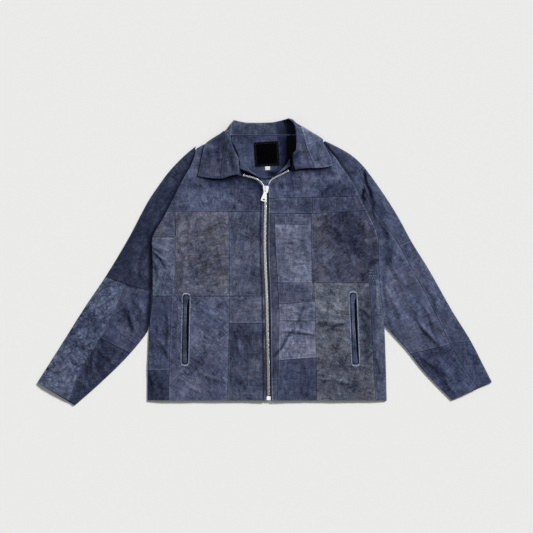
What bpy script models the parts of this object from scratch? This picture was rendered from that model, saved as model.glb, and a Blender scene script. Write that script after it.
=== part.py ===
"""A zip-front work jacket pieced from boro patches, laid flat on its back.

The jacket lies on the plane Z = 0 with its collar towards +Y and its front facing +Z. Left and
right are as seen from above: left is -X. All sizes below are in millimetres, and MM turns them into
metres when a mesh is made. Layers, from the ground up: the fold of the collar behind the neck, the
back and the sleeves' undersides, the neck facing, the sleeves' upper sides, the fronts, then the
collar and the turned-out front edges.
"""
import math
from collections import namedtuple

import bmesh
import bpy
import numpy as np

MM = 0.001

# --- driving sizes -----------------------------------------------------------------------------
WALL = 1.8            # one layer of patched cloth
THIN = 1.0            # facing cloth
COLLAR_WALL = 2.4     # the collar is two layers, pressed together
GAP = 0.3             # between layers that lie on each other
SEAM = 0.2            # each side of a seam keeps this far off its line
ROOMY = 0.6           # gap under a layer that curves over another

HEM = -346.0
ARMPIT = 54.0
TAPE_WALL = 0.8
TAPE_FLOOR = 4.4      # underside of the zip's tapes
TAPE_WIDTH = 20.0     # from the zip's middle to the tape's sewn edge
ZIP_GAP = 8.0         # from the zip's middle to the edge of each front
ZIP_TOP_X = 3.5       # the zip's middle at the slider's head
ZIP_TOP_Y = 190.0
ZIP_LEAN = 0.0127     # sideways for each millimetre down
ZIP_BOW = 3.4         # the most that the zip bows to the left, at ZIP_BOW_Y
ZIP_BOW_Y = 35.0
ZIP_BOW_HALF = 150.0  # the bow has died away this far above and below

BACK_LIFT = WALL + GAP             # the back rises this much over the collar's hidden fall
BACK_LIFT_Y = (262.0, 281.0)
FRONT_LIFT_Y = (180.0, 210.0)      # the fronts rise over the neck facing
FACING_FLOOR = 2 * (WALL + GAP)

PUFF = 2.3            # how far the fronts stand off the back, over the gap between layers
ZIP_PUFF = 3.6        # the same beside the zip, where the tapes lie between
SLEEVE_PUFF = 2.6
EDGE_ROLL = 40.0      # width over which a folded edge rises to full height
SHOULDER_ROLL = 24.0


# --- edges and seams ---------------------------------------------------------------------------
class Edge:
    """An edge or seam: its place across the cloth for each place along it, in straight runs."""

    def __init__(self, along, across):
        order = np.argsort(along)
        self.along = np.array(along, float)[order]
        self.across = np.array(across, float)[order]

    def __call__(self, along):
        return np.interp(along, self.along, self.across)

    def moved(self, amount):
        return Edge(self.along, self.across + amount)


def zip_middle(y):
    """The zip leans a little to the right on its way down, and bows to the left across the chest."""
    bow = np.cos(math.pi * np.clip((y - ZIP_BOW_Y) / (2 * ZIP_BOW_HALF), -0.5, 0.5)) ** 2
    return ZIP_TOP_X + (ZIP_TOP_Y - y) * ZIP_LEAN - ZIP_BOW * bow


def joined(*edges):
    """One edge from several, each starting where the last one ends."""
    along = np.concatenate([edge.along for edge in edges])
    across = np.concatenate([edge.across for edge in edges])
    return Edge(along, across)


SIDE_LEFT = Edge(along=(54, -30, -75, -155, -250, -346), across=(-282, -280, -280, -287, -291, -292))
SIDE_RIGHT = Edge(along=(54, -30, -75, -155, -250, -346), across=(284, 286, 290, 299, 303, 305.5))
ARMHOLE_LEFT = Edge(along=(80, 105, 155, 205, 245, 262, 281),
                    across=(-271, -256, -230, -205, -182.5, -176, -172))
ARMHOLE_RIGHT = Edge(along=(80, 105, 155, 205, 245, 262, 281, 300),
                     across=(277.5, 266, 241, 215, 187.5, 176, 160, 147))
OUTLINE_LEFT = joined(SIDE_LEFT, ARMHOLE_LEFT)
OUTLINE_RIGHT = joined(SIDE_RIGHT, ARMHOLE_RIGHT)

ZIP_EDGE_Y = (-346, -240, -115, -60, 0, 35, 80, 130, 188)
ZIP_EDGE_LEFT = Edge(along=ZIP_EDGE_Y, across=[zip_middle(y) - ZIP_GAP for y in ZIP_EDGE_Y])
ZIP_EDGE_RIGHT = Edge(along=ZIP_EDGE_Y, across=[zip_middle(y) + ZIP_GAP for y in ZIP_EDGE_Y])
# The open front edge curves out below the turned-out teeth, then runs up under the collar.
NECK_LEFT = joined(ZIP_EDGE_LEFT, Edge(along=(192, 198, 205, 208.5, 211.5, 222, 262, 290, 317),
                                       across=(-8, -13.5, -22.5, -37, -52, -66, -67, -77, -86)))
NECK_RIGHT = joined(ZIP_EDGE_RIGHT, Edge(along=(192, 197, 203, 209, 213, 219, 224, 232, 262, 290, 319),
                                         across=(12, 15.5, 19.5, 28, 36, 48, 59.5, 68, 70, 69, 68)))

# Seams of the left front
ARM_SEAM_LEFT = Edge(along=(127, -84), across=(-222, -223))
CHEST_SEAM_LEFT = Edge(along=(127, -84, -200, -346), across=(-88, -86, -88, -92))
SIDE_SEAM_LEFT = Edge(along=(-84, -220, -346), across=(-231, -235, -239))
# Seams of the right front
ZIP_STRIP_RIGHT = Edge(along=(123, 95, -51, -150, -346), across=(27, 27, 34, 38, 33))
ROW_SEAM_RIGHT = Edge(along=(166, 120), across=(121, 121))
CHEST_SEAM_RIGHT = Edge(along=(123, -51), across=(117.5, 120))
PANEL_SEAM_RIGHT = Edge(along=(-51, -100, -200, -346), across=(124, 127, 129.5, 132))
SIDE_SEAM_RIGHT = Edge(along=(-4, -20, -51, -95, -195, -295, -346),
                       across=(281, 266, 262.5, 266, 271, 276, 279))
MUD_EDGE_RIGHT = joined(SIDE_SEAM_RIGHT, Edge(along=(0, 54), across=(285, 284)), ARMHOLE_RIGHT)

# Collar: the roll is the inner fold, then the piecing seam, then the free edge and shoulder fold
ROLL_LEFT = Edge(along=(218, 230, 245, 260, 280, 300, 317, 335, 352),
                 across=(-64, -63, -64, -66.5, -76, -82.5, -85, -84, -76))
COLLAR_SEAM_LEFT = Edge(along=(208, 262, 287, 322, 330), across=(-109, -104, -101, -98, -97))
COLLAR_EDGE_LEFT = Edge(along=(214.5, 242, 267, 290, 297, 305, 323.5, 330),
                        across=(-167, -161, -156, -150, -146, -136, -107, -99))
ROLL_RIGHT = Edge(along=(230.5, 245, 260, 270, 280, 300, 330, 348, 358),
                  across=(76, 72, 69.5, 70.5, 78, 79, 77.5, 71, 60))
COLLAR_SEAM_RIGHT = Edge(along=(234.5, 262, 287, 315, 337), across=(126, 116, 106, 99, 91))
COLLAR_EDGE_RIGHT = Edge(along=(240.5, 262, 280, 300, 305, 312, 327, 340),
                         across=(171, 165, 156, 146.5, 147, 139, 114, 94))

ROLL_HEIGHT_LEFT = Edge(along=(218, 240, 260, 300, 335, 352), across=(12.5, 16, 19, 21, 15, 9))
ROLL_HEIGHT_RIGHT = Edge(along=(230, 245, 260, 300, 330, 358), across=(14, 18, 22, 25, 20, 9))


# --- heights of the layers ---------------------------------------------------------------------
def ramp(value, low, high):
    """From 0 at low to 1 at high, straight between."""
    return np.clip((value - low) / (high - low), 0.0, 1.0)


def rounded(share):
    """A quarter wave: steep at 0, level at 1."""
    return np.sin(np.clip(share, 0.0, 1.0) * math.pi / 2)


def back_floor(x, y):
    return BACK_LIFT * ramp(y, *BACK_LIFT_Y) + 0.0 * x


def shoulder_line(x):
    """The shoulder fold's place in Y, from the neck outwards."""
    return np.where(x < 0, np.interp(x, (-172, -86), (281, 317)), np.interp(x, (68, 150), (319, 300)))


def front_floor(x, y):
    """Underside of the fronts: folded down at the sides, up over the sleeves, zip and facing."""
    edge_height = PUFF * ramp(y, ARMPIT, 80.0)
    to_side = np.minimum(x - OUTLINE_LEFT(y), OUTLINE_RIGHT(y) - x)
    puff = edge_height + (PUFF - edge_height) * rounded(to_side / EDGE_ROLL)
    at_shoulder = (1.0 - rounded((shoulder_line(x) - y) / SHOULDER_ROLL)) * ramp(np.abs(x), 100.0, 125.0)
    beside_zip = ramp(np.abs(x - zip_middle(y)), 60.0, 24.0)
    lift = BACK_LIFT * ramp(y, *FRONT_LIFT_Y)
    return WALL + GAP + puff * (1.0 - at_shoulder) + (ZIP_PUFF - PUFF) * beside_zip + lift


def front_top(x, y):
    return front_floor(x, y) + WALL


def collar_floor(x, y, roll, roll_height, free_edge, shoulder_y, side):
    """Underside of the collar's fall: high at the roll, then lying on the front, and folded down
    to the ground at the shoulder. side is -1 on the left and 1 on the right."""
    lying = front_top(x, y) + ROOMY
    from_roll = side * (x - roll(y))
    high = np.maximum(roll_height(y) - COLLAR_WALL - lying, 0.0)
    floor = lying + high * np.exp(-(from_roll / 20.0) ** 2)
    from_edge = side * (free_edge(y) - x)
    folded = rounded(from_edge / 8.0)
    at_shoulder = ramp(y, *shoulder_y)
    low = WALL + GAP
    return floor + at_shoulder * (low - floor) * (1.0 - folded)


def collar_floor_left(x, y):
    return collar_floor(x, y, ROLL_LEFT, ROLL_HEIGHT_LEFT, COLLAR_EDGE_LEFT, (290.0, 300.0), -1)


def collar_floor_right(x, y):
    return collar_floor(x, y, ROLL_RIGHT, ROLL_HEIGHT_RIGHT, COLLAR_EDGE_RIGHT, (300.0, 310.0), 1)


def level(height):
    """A layer that lies flat, its underside at the height given."""
    return lambda x, y: height + 0.0 * x


# --- making meshes -----------------------------------------------------------------------------
CLOTHS = {
    "indigo": (0.068, 0.078, 0.130),
    "deep_indigo": (0.038, 0.046, 0.088),
    "pale_indigo": (0.115, 0.127, 0.190),
    "mud": (0.080, 0.086, 0.115),
    "dark_mud": (0.042, 0.044, 0.066),
    "grey_mud": (0.090, 0.100, 0.125),
    "plain_lining": (0.040, 0.052, 0.100),
    "zip_tape": (0.045, 0.048, 0.072),
    "metal": (0.620, 0.620, 0.610),
    "label_black": (0.008, 0.008, 0.010),
    "label_white": (0.750, 0.750, 0.730),
}
METAL = "metal"


def finish(name, mesh, cloth):
    """Adds the mesh to the scene as one named piece with a material of its own."""
    material = bpy.data.materials.new(name)
    material.use_nodes = True
    shader = material.node_tree.nodes["Principled BSDF"]
    shader.inputs["Base Color"].default_value = (*CLOTHS[cloth], 1.0)
    shader.inputs["Roughness"].default_value = 0.3 if cloth == METAL else 0.9
    shader.inputs["Metallic"].default_value = 1.0 if cloth == METAL else 0.0
    mesh.materials.append(material)
    piece = bpy.data.objects.new(name, mesh)
    bpy.context.scene.collection.objects.link(piece)
    return piece


def closed_mesh(name, under, over):
    """A wall between two grids of points, rows by columns by XYZ in millimetres."""
    rows, columns = under.shape[:2]
    count = rows * columns
    index = np.arange(count).reshape(rows, columns)
    faces = []
    for i in range(rows - 1):
        for j in range(columns - 1):
            ring = (index[i, j], index[i, j + 1], index[i + 1, j + 1], index[i + 1, j])
            faces.append([vertex + count for vertex in ring])
            faces.append(list(reversed(ring)))
    rim = [*index[0, :-1], *index[:-1, -1], *index[-1, :0:-1], *index[:0:-1, 0]]
    for a, b in zip(rim, rim[1:] + rim[:1]):
        faces.append([a, b, b + count, a + count])
    points = np.concatenate([under.reshape(-1, 3), over.reshape(-1, 3)]) * MM
    mesh = bpy.data.meshes.new(name)
    mesh.from_pydata(points.tolist(), [], [[int(v) for v in face] for face in faces])
    bm = bmesh.new()
    bm.from_mesh(mesh)
    bmesh.ops.recalc_face_normals(bm, faces=bm.faces)
    bm.to_mesh(mesh)
    bm.free()
    return mesh


def plate(name, x, y, floor, wall, cloth):
    """A layer whose underside follows a floor, its wall measured straight up."""
    z = floor(x, y)
    under = np.stack([x, y, z], axis=-1)
    over = np.stack([x, y, z + wall], axis=-1)
    return finish(name, closed_mesh(name, under, over), cloth)


def spaced(edges, low, high, longest):
    """Row places from 0 to 1: at the edges' own corners, and no further apart than longest."""
    marks = {0.0, 1.0}
    for edge, start, end in zip(edges, low, high):
        for along in edge.along:
            share = (along - start) / (end - start)
            if 0.008 < share < 0.992:
                marks.add(float(share))
    kept = []
    for mark in sorted(marks):
        if not kept or mark - kept[-1] > 0.006:
            kept.append(mark)
    kept[-1] = 1.0
    length = abs(high[0] - low[0] + high[1] - low[1]) / 2
    levels = [0.0]
    for mark in kept[1:]:
        steps = max(1, math.ceil((mark - levels[-1]) * length / longest))
        start = levels[-1]
        levels += [start + (mark - start) * (k + 1) / steps for k in range(steps)]
    return np.array(levels)


def panel_grid(left, right, low, high, columns=None, longest=75.0, widest=55.0, bow_low=0.0, bow_high=0.0):
    """Points of a four-sided piece between two edges. low and high are the places along them, at
    the left and the right edge, where the piece begins and ends. A bow pushes an end outwards."""
    shares = spaced((left, right), low, high, longest)
    start = np.array(low, float) + SEAM
    end = np.array(high, float) - SEAM
    along_left = start[0] + (end[0] - start[0]) * shares
    along_right = start[1] + (end[1] - start[1]) * shares
    across_left = left(along_left) + SEAM
    across_right = right(along_right) - SEAM
    if columns is None:
        width = float(np.max(across_right - across_left))
        columns = np.linspace(0.0, 1.0, max(2, math.ceil(width / widest)) + 1)
    u = np.array(columns)[None, :]
    v = shares[:, None]
    across = across_left[:, None] * (1 - u) + across_right[:, None] * u
    along = along_left[:, None] * (1 - u) + along_right[:, None] * u
    swell = 4 * u * (1 - u)
    along = along + swell * (bow_high * v ** 4 - bow_low * (1 - v) ** 4)
    return across, along


# --- the body ----------------------------------------------------------------------------------
Panel = namedtuple("Panel", "name left right low high cloth")
TOWARDS_SIDE = (0.0, 0.25, 0.6, 1.0)     # closer columns where a side folds down

LEFT_FRONT = (
    Panel("front_left_yoke", ARMHOLE_LEFT, NECK_LEFT, (127, 127), (281, 317), "indigo"),
    Panel("front_left_armhole_patch", OUTLINE_LEFT, ARM_SEAM_LEFT, (63.5, 63.5), (127, 127), "mud"),
    Panel("front_left_side_chest", OUTLINE_LEFT, ARM_SEAM_LEFT, (-84, -84), (63.5, 63.5), "pale_indigo"),
    Panel("front_left_chest_mud", ARM_SEAM_LEFT, CHEST_SEAM_LEFT, (-84, -84), (127, 127), "mud"),
    Panel("front_left_chest_indigo", CHEST_SEAM_LEFT, ZIP_EDGE_LEFT, (-84, -84), (127, 127), "indigo"),
    Panel("front_left_pocket_panel", SIDE_SEAM_LEFT, CHEST_SEAM_LEFT, (HEM, HEM), (-84, -84), "indigo"),
    Panel("front_left_zip_upper", CHEST_SEAM_LEFT, ZIP_EDGE_LEFT, (-152, -152), (-84, -84), "pale_indigo"),
    Panel("front_left_zip_lower", CHEST_SEAM_LEFT, ZIP_EDGE_LEFT, (HEM, HEM), (-152, -152), "deep_indigo"),
    Panel("front_left_side_upper", SIDE_LEFT, SIDE_SEAM_LEFT, (-269, -269), (-84, -84), "indigo"),
    Panel("front_left_side_lower", SIDE_LEFT, SIDE_SEAM_LEFT, (HEM, HEM), (-269, -269), "deep_indigo"),
)
RIGHT_FRONT = (
    Panel("front_right_yoke", NECK_RIGHT, ARMHOLE_RIGHT, (160, 166), (315, 296), "indigo"),
    Panel("front_right_row_inner", ZIP_EDGE_RIGHT, ROW_SEAM_RIGHT, (123, 122), (160, 163.1), "deep_indigo"),
    Panel("front_right_row_outer", ROW_SEAM_RIGHT, ARMHOLE_RIGHT, (122, 130), (163.1, 166), "indigo"),
    Panel("front_right_narrow_strip", ZIP_STRIP_RIGHT, CHEST_SEAM_RIGHT, (95, 95), (122.8, 122), "indigo"),
    Panel("front_right_chest_pale", ZIP_STRIP_RIGHT, CHEST_SEAM_RIGHT, (-51, -51), (95, 95), "pale_indigo"),
    Panel("front_right_chest_mud", CHEST_SEAM_RIGHT, MUD_EDGE_RIGHT, (-51, -51), (122, 130), "dark_mud"),
    Panel("front_right_zip_strip", ZIP_EDGE_RIGHT, ZIP_STRIP_RIGHT, (HEM, HEM), (123, 122.8),
          "deep_indigo"),
    Panel("front_right_waist_indigo", ZIP_STRIP_RIGHT, PANEL_SEAM_RIGHT, (-103, -98), (-51, -51), "indigo"),
    Panel("front_right_waist_pale_upper", ZIP_STRIP_RIGHT, PANEL_SEAM_RIGHT, (-146, -146), (-103, -98),
          "pale_indigo"),
    Panel("front_right_waist_pale_lower", ZIP_STRIP_RIGHT, PANEL_SEAM_RIGHT, (-244, -238), (-146, -146),
          "pale_indigo"),
    Panel("front_right_hem_indigo", ZIP_STRIP_RIGHT, PANEL_SEAM_RIGHT, (HEM, HEM), (-244, -238),
          "deep_indigo"),
    Panel("front_right_pocket_panel", PANEL_SEAM_RIGHT, SIDE_SEAM_RIGHT, (HEM, HEM), (-51, -51),
          "grey_mud"),
    Panel("front_right_side", SIDE_SEAM_RIGHT, SIDE_RIGHT, (HEM, HEM), (-4, -4), "pale_indigo"),
)
SIDE_COLUMNS = {
    "front_left_armhole_patch": TOWARDS_SIDE,
    "front_left_side_chest": TOWARDS_SIDE,
    "front_left_side_upper": (0.0, 0.2, 0.5, 1.0),
    "front_left_side_lower": (0.0, 0.2, 0.5, 1.0),
    "front_right_side": (0.0, 0.35, 0.7, 1.0),
    "front_right_chest_mud": (0.0, 0.25, 0.5, 0.75, 0.9, 1.0),
}


SHOULDER_BOW = {"front_left_yoke": -3.0, "front_right_yoke": -3.0}


def make_fronts():
    for panel in LEFT_FRONT + RIGHT_FRONT:
        x, y = panel_grid(panel.left, panel.right, panel.low, panel.high, SIDE_COLUMNS.get(panel.name),
                          bow_high=SHOULDER_BOW.get(panel.name, 0.0))
        plate(panel.name, x, y, front_floor, WALL, panel.cloth)


def make_back():
    """One panel from hem to neck seam, whose rows run level, so that its rise is a clean fold."""
    shoulder_left = joined(OUTLINE_LEFT, Edge(along=(300, 315.8), across=(-136, -84)))
    shoulder_right = joined(OUTLINE_RIGHT, Edge(along=(315.8,), across=(64,)))
    x, y = panel_grid(shoulder_left, shoulder_right, (HEM, HEM), (316, 316), widest=100.0, longest=95.0)
    plate("back", x, y, back_floor, WALL, "plain_lining")


def make_neck_facing():
    left = Edge(along=(215, 262, 316), across=(-62, -84, -84))
    right = Edge(along=(215, 262, 316), across=(66, 80, 66))
    x, y = panel_grid(left, right, (215, 215), (316, 316), bow_low=6.0)
    plate("neck_facing", x, y, level(FACING_FLOOR), THIN, "plain_lining")


# --- sleeves -----------------------------------------------------------------------------------
SLEEVE_RUN = (0.497, 0.868)     # direction from cuff to shoulder, with x towards the body


class Sleeve:
    """A sleeve laid flat. Along runs from cuff to shoulder, across runs from left to right."""

    def __init__(self, side, outer, inner, lengthwise, tuck_y, tuck):
        self.side = side
        self.tuck_y = tuck_y
        self.tuck = tuck
        self.outer = self.edge(outer)
        self.under_inner = self.edge(inner)
        self.inner = self.edge([(x - side * self.tuck_at(y), y) for x, y in inner])
        self.lengthwise = self.edge(lengthwise)

    def tuck_at(self, y):
        """How far the upper side slips under the front at the armhole."""
        return np.interp(y, self.tuck_y, self.tuck)

    def along(self, point):
        return -self.side * point[0] * SLEEVE_RUN[0] + point[1] * SLEEVE_RUN[1]

    def across(self, point):
        return point[0] * SLEEVE_RUN[1] + self.side * point[1] * SLEEVE_RUN[0]

    def edge(self, points):
        return Edge([self.along(p) for p in points], [self.across(p) for p in points])

    def world(self, across, along):
        x = across * SLEEVE_RUN[1] - self.side * along * SLEEVE_RUN[0]
        y = self.side * across * SLEEVE_RUN[0] + along * SLEEVE_RUN[1]
        return x, y

    def floor(self, across, along):
        """Underside of the upper side: down at both folds, with a little air between."""
        share = (across - self.outer(along)) / (self.under_inner(along) - self.outer(along))
        puff = 1.0 - np.abs(2 * np.clip(1.06 * share, 0.0, 1.0) - 1.0) ** 3
        return WALL + GAP + SLEEVE_PUFF * puff

    def piece(self, name, outer, inner, low, high, cloth, columns=None, flat=False):
        """A piece between an outer and an inner edge. low and high hold an (x, y) point on each,
        and columns are counted from the outer edge."""
        edges = (outer, inner) if self.side < 0 else (inner, outer)
        pairs = [pair if self.side < 0 else reversed(pair) for pair in (low, high)]
        ends = [[self.along(point) for point in pair] for pair in pairs]
        if columns is not None and self.side > 0:
            columns = [1.0 - share for share in reversed(columns)]
        across, along = panel_grid(*edges, *ends, columns, longest=90.0, widest=40.0)
        x, y = self.world(across, along)
        floor = 0.0 * x if flat else self.floor(across, along)
        under = np.stack([x, y, floor], axis=-1)
        over = np.stack([x, y, floor + WALL], axis=-1)
        return finish(name, closed_mesh(name, under, over), cloth)


ARMHOLE_Y = (54, 80, 105, 155, 205, 245, 262, 281)
APART = 0.7                                   # clear of the body where nothing is tucked under
TUCKED = (-APART, -APART, 5, 6, 6, 5, -APART, -APART)


def body_side_points(outline, side, levels):
    """Points just outside the body's outline, at the levels given."""
    return [(float(outline(y)) + side * APART, y) for y in levels]


LEFT_SLEEVE_OUTER = [(-567.5, -302), (-508, -208.5), (-444, -107), (-396, -36), (-340, 57), (-289.5, 152),
                     (-263, 192), (-237, 227), (-211, 255), (-191, 273.5), (-173, 288)]
LEFT_SLEEVE_INNER = [(-474, -358.5), (-411, -303), (-335, -227.5), (-311, -199), (-294, -176)]
LEFT_SLEEVE_INNER += body_side_points(OUTLINE_LEFT, -1, (-155, -75, -30) + ARMHOLE_Y)
LEFT_SLEEVE_SEAM = [(-343.5, -58), (-408, -190), (-451, -258), (-487.5, -346.5)]
RIGHT_SLEEVE_OUTER = [(568, -300), (544, -253), (514, -195), (464, -114), (414, -25), (366, 53),
                      (336, 108.5), (296, 172), (264, 217), (246, 240), (214, 268.5), (189, 283.5),
                      (152, 302)]
RIGHT_SLEEVE_INNER = [(469, -345), (439, -315), (401, -275), (351, -213), (321, -180)]
RIGHT_SLEEVE_INNER += body_side_points(OUTLINE_RIGHT, 1, (-155, -75, -30) + ARMHOLE_Y + (300,))
RIGHT_SLEEVE_SEAM = [(238, 228), (266, 147), (301, 95), (339, 40), (376, -28), (406, -83), (439, -150),
                     (465, -203), (496, -258), (534, -313)]


WHOLE_WIDTH = (0.0, 0.12, 0.35, 0.65, 0.88, 1.0)      # closer columns by the folds
FROM_SEAM = (0.0, 0.35, 0.7, 0.9, 1.0)


def make_left_sleeve():
    sleeve = Sleeve(-1, LEFT_SLEEVE_OUTER, LEFT_SLEEVE_INNER, LEFT_SLEEVE_SEAM, ARMHOLE_Y, TUCKED)
    outer, inner, seam = sleeve.outer, sleeve.inner, sleeve.lengthwise
    cuff_outer, cuff_inner = LEFT_SLEEVE_OUTER[0], LEFT_SLEEVE_INNER[0]
    top_outer, top_inner = LEFT_SLEEVE_OUTER[-1], LEFT_SLEEVE_INNER[-1]
    elbow_outer, elbow_inner, elbow_seam = (-396, -36), (-281, -74), (-343.5, -58)
    wrist_inner, wrist_seam = (-335, -227.5), (-408, -190)
    cuff_seam = LEFT_SLEEVE_SEAM[-1]
    sleeve.piece("sleeve_left_upper", outer, inner, (elbow_outer, elbow_inner), (top_outer, top_inner),
                 "deep_indigo", WHOLE_WIDTH)
    sleeve.piece("sleeve_left_forearm_outer", outer, seam, (cuff_outer, cuff_seam),
                 (elbow_outer, elbow_seam), "pale_indigo")
    sleeve.piece("sleeve_left_forearm_inner", seam, inner, (wrist_seam, wrist_inner),
                 (elbow_seam, elbow_inner), "indigo")
    sleeve.piece("sleeve_left_cuff", seam, inner, (cuff_seam, cuff_inner), (wrist_seam, wrist_inner),
                 "deep_indigo")
    sleeve.piece("sleeve_left_underside", outer, sleeve.under_inner, (cuff_outer, cuff_inner),
                 (top_outer, top_inner), "deep_indigo", flat=True)


def make_right_sleeve():
    sleeve = Sleeve(1, RIGHT_SLEEVE_OUTER, RIGHT_SLEEVE_INNER, RIGHT_SLEEVE_SEAM, ARMHOLE_Y, TUCKED)
    outer, inner, seam = sleeve.outer, sleeve.inner, sleeve.lengthwise
    cuff_outer, cuff_inner = RIGHT_SLEEVE_OUTER[0], RIGHT_SLEEVE_INNER[0]
    top_outer, top_inner = RIGHT_SLEEVE_OUTER[-1], RIGHT_SLEEVE_INNER[-1]
    shoulder_outer, shoulder_inner, shoulder_seam = (246, 240), (215.5, 205), (238, 228)
    arm_outer, arm_seam = (366, 53), (339, 40)
    wrist_outer, wrist_inner, wrist_seam = (515, -197), (364, -229), (465, -203)
    cuff_seam = RIGHT_SLEEVE_SEAM[-1]
    sleeve.piece("sleeve_right_shoulder", outer, inner, (shoulder_outer, shoulder_inner),
                 (top_outer, top_inner), "indigo", WHOLE_WIDTH)
    sleeve.piece("sleeve_right_upper_outer", outer, seam, (arm_outer, arm_seam),
                 (shoulder_outer, shoulder_seam), "indigo")
    sleeve.piece("sleeve_right_lower_outer", outer, seam, (wrist_outer, wrist_seam), (arm_outer, arm_seam),
                 "indigo")
    sleeve.piece("sleeve_right_inner", seam, inner, (wrist_seam, wrist_inner),
                 (shoulder_seam, shoulder_inner), "pale_indigo", FROM_SEAM)
    sleeve.piece("sleeve_right_cuff_outer", outer, seam, (cuff_outer, cuff_seam), (wrist_outer, wrist_seam),
                 "indigo")
    sleeve.piece("sleeve_right_cuff_inner", seam, inner, (cuff_seam, cuff_inner), (wrist_seam, wrist_inner),
                 "deep_indigo")
    sleeve.piece("sleeve_right_underside", outer, sleeve.under_inner, (cuff_outer, cuff_inner),
                 (top_outer, top_inner), "deep_indigo", flat=True)


# --- collar ------------------------------------------------------------------------------------
def collar_piece(name, left, right, low, high, floor, columns, bow_low=0.0, bow_high=0.0, cloth="indigo"):
    x, y = panel_grid(left, right, low, high, columns, 30.0, bow_low=bow_low, bow_high=bow_high)
    plate(name, x, y, floor, COLLAR_WALL, cloth)


def make_collar_falls():
    collar_piece("collar_left_outer", COLLAR_EDGE_LEFT, COLLAR_SEAM_LEFT, (214.5, 208), (326, 327),
                 collar_floor_left, (0.0, 0.12, 0.3, 0.6, 1.0), bow_low=1.5)
    collar_piece("collar_left_inner", COLLAR_SEAM_LEFT, ROLL_LEFT, (208, 218), (330, 352),
                 collar_floor_left, (0.0, 0.3, 0.55, 0.8, 1.0), bow_low=-2.0, cloth="deep_indigo")
    collar_piece("collar_right_outer", COLLAR_SEAM_RIGHT, COLLAR_EDGE_RIGHT, (234.5, 240.5), (337, 340),
                 collar_floor_right, (0.0, 0.4, 0.7, 0.88, 1.0), bow_low=1.5, cloth="pale_indigo")
    collar_piece("collar_right_inner", ROLL_RIGHT, COLLAR_SEAM_RIGHT, (270, 270), (358, 337),
                 collar_floor_right, (0.0, 0.2, 0.45, 0.7, 1.0), bow_high=6.0, cloth="pale_indigo")
    collar_piece("collar_right_corner", ROLL_RIGHT, COLLAR_SEAM_RIGHT, (230.5, 234.5), (270, 270),
                 collar_floor_right, (0.0, 0.2, 0.45, 0.7, 1.0), bow_low=-1.0)


def make_collar_hidden_fall():
    """The collar behind the neck, folded under the back and lying on the ground."""
    left = Edge(along=(288, 297, 305, 323, 341, 350), across=(-149, -144, -134, -105, -84, -73))
    right = Edge(along=(288, 300, 312, 327, 343, 354), across=(150, 146, 138, 112, 87, 70))
    x, y = panel_grid(left, right, (288, 288), (350, 354), longest=40.0, bow_high=-4.0)
    plate("collar_behind_neck", x, y, level(0.0), WALL, "indigo")


def wall_along(name, foot, head, wall, cloth, steps=4, bulge=0.0):
    """A standing wall from a foot line to a head line, thickened along its own normals away from
    the neck opening. foot and head are rows of XYZ points."""
    foot, head = np.array(foot, float), np.array(head, float)
    shares = np.linspace(0.0, 1.0, steps + 1)[None, :, None]
    inside = foot[:, None, :] * (1 - shares) + head[:, None, :] * shares
    inside[..., 2] += bulge * np.sin(shares[..., 0] * math.pi)
    run = np.gradient(inside, axis=0)
    rise = np.gradient(inside, axis=1)
    normal = np.cross(run, rise)
    normal /= np.linalg.norm(normal, axis=-1, keepdims=True)
    if normal[..., 2].mean() > 0:
        normal = -normal
    return finish(name, closed_mesh(name, inside, inside + normal * wall), cloth)


def make_collar_stands():
    """The collar's inside: it stands on the neck seam and meets the roll of the fall."""
    foot_height = FACING_FLOOR + THIN + WALL + GAP
    levels_left = (264, 280, 300, 314)
    foot = Edge(along=(264, 280, 300, 316), across=(-60, -67, -73, -77))
    left_foot = [(float(foot(y)), y, foot_height) for y in levels_left]
    left_head = [(float(ROLL_LEFT(y)) + 0.8, y, float(ROLL_HEIGHT_LEFT(y)) - COLLAR_WALL - 1.2)
                 for y in levels_left]
    wall_along("collar_stand_left", left_foot, left_head, WALL, "deep_indigo")
    levels_right = (262, 272, 280, 300, 314)
    foot_right = Edge(along=(262, 280, 300, 316), across=(61, 60, 59, 60))
    right_foot = [(float(foot_right(y)), y, foot_height) for y in levels_right]
    right_head = [(float(ROLL_RIGHT(y)) - 1.2, y, float(ROLL_HEIGHT_RIGHT(y)) - COLLAR_WALL - 1.2)
                  for y in levels_right]
    wall_along("collar_stand_right", right_foot, right_head, WALL, "deep_indigo")


def make_collar_back_stand():
    """The stand behind the neck lies back, its ends curling up into the rolls."""
    left = Edge(along=(317, 335, 352), across=(-83.6, -82.4, -74.4))
    right = Edge(along=(317, 330, 348, 357), across=(76.5, 75.5, 69, 58.5))
    columns = (0.0, 0.06, 0.14, 0.3, 0.45, 0.6, 0.75, 0.87, 0.95, 1.0)
    x, y = panel_grid(left, right, (316.3, 316.3), (353, 357.5), columns, 20.0, bow_high=-7.0)
    share = ramp(y, 316.0, 350.0)
    flat = 4.5 - 1.2 * share
    low_left = np.maximum(ROLL_HEIGHT_LEFT(y) - COLLAR_WALL - 1.0 - flat, 0.0)
    low_right = np.maximum(ROLL_HEIGHT_RIGHT(y) - COLLAR_WALL - 1.0 - flat, 0.0)
    curl_left = low_left * ramp(x, left(y) + 14.0, left(y)) ** 2
    curl_right = low_right * ramp(x, right(y) - 26.0, right(y)) ** 2
    floor = flat + curl_left + curl_right
    under = np.stack([x, y, floor], axis=-1)
    over = np.stack([x, y, floor + WALL], axis=-1)
    finish("collar_stand_back", closed_mesh("collar_stand_back", under, over), "indigo")


# --- turned-out front edges and zip ------------------------------------------------------------
LAPEL_FLOOR = FACING_FLOOR + THIN + ROOMY


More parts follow.
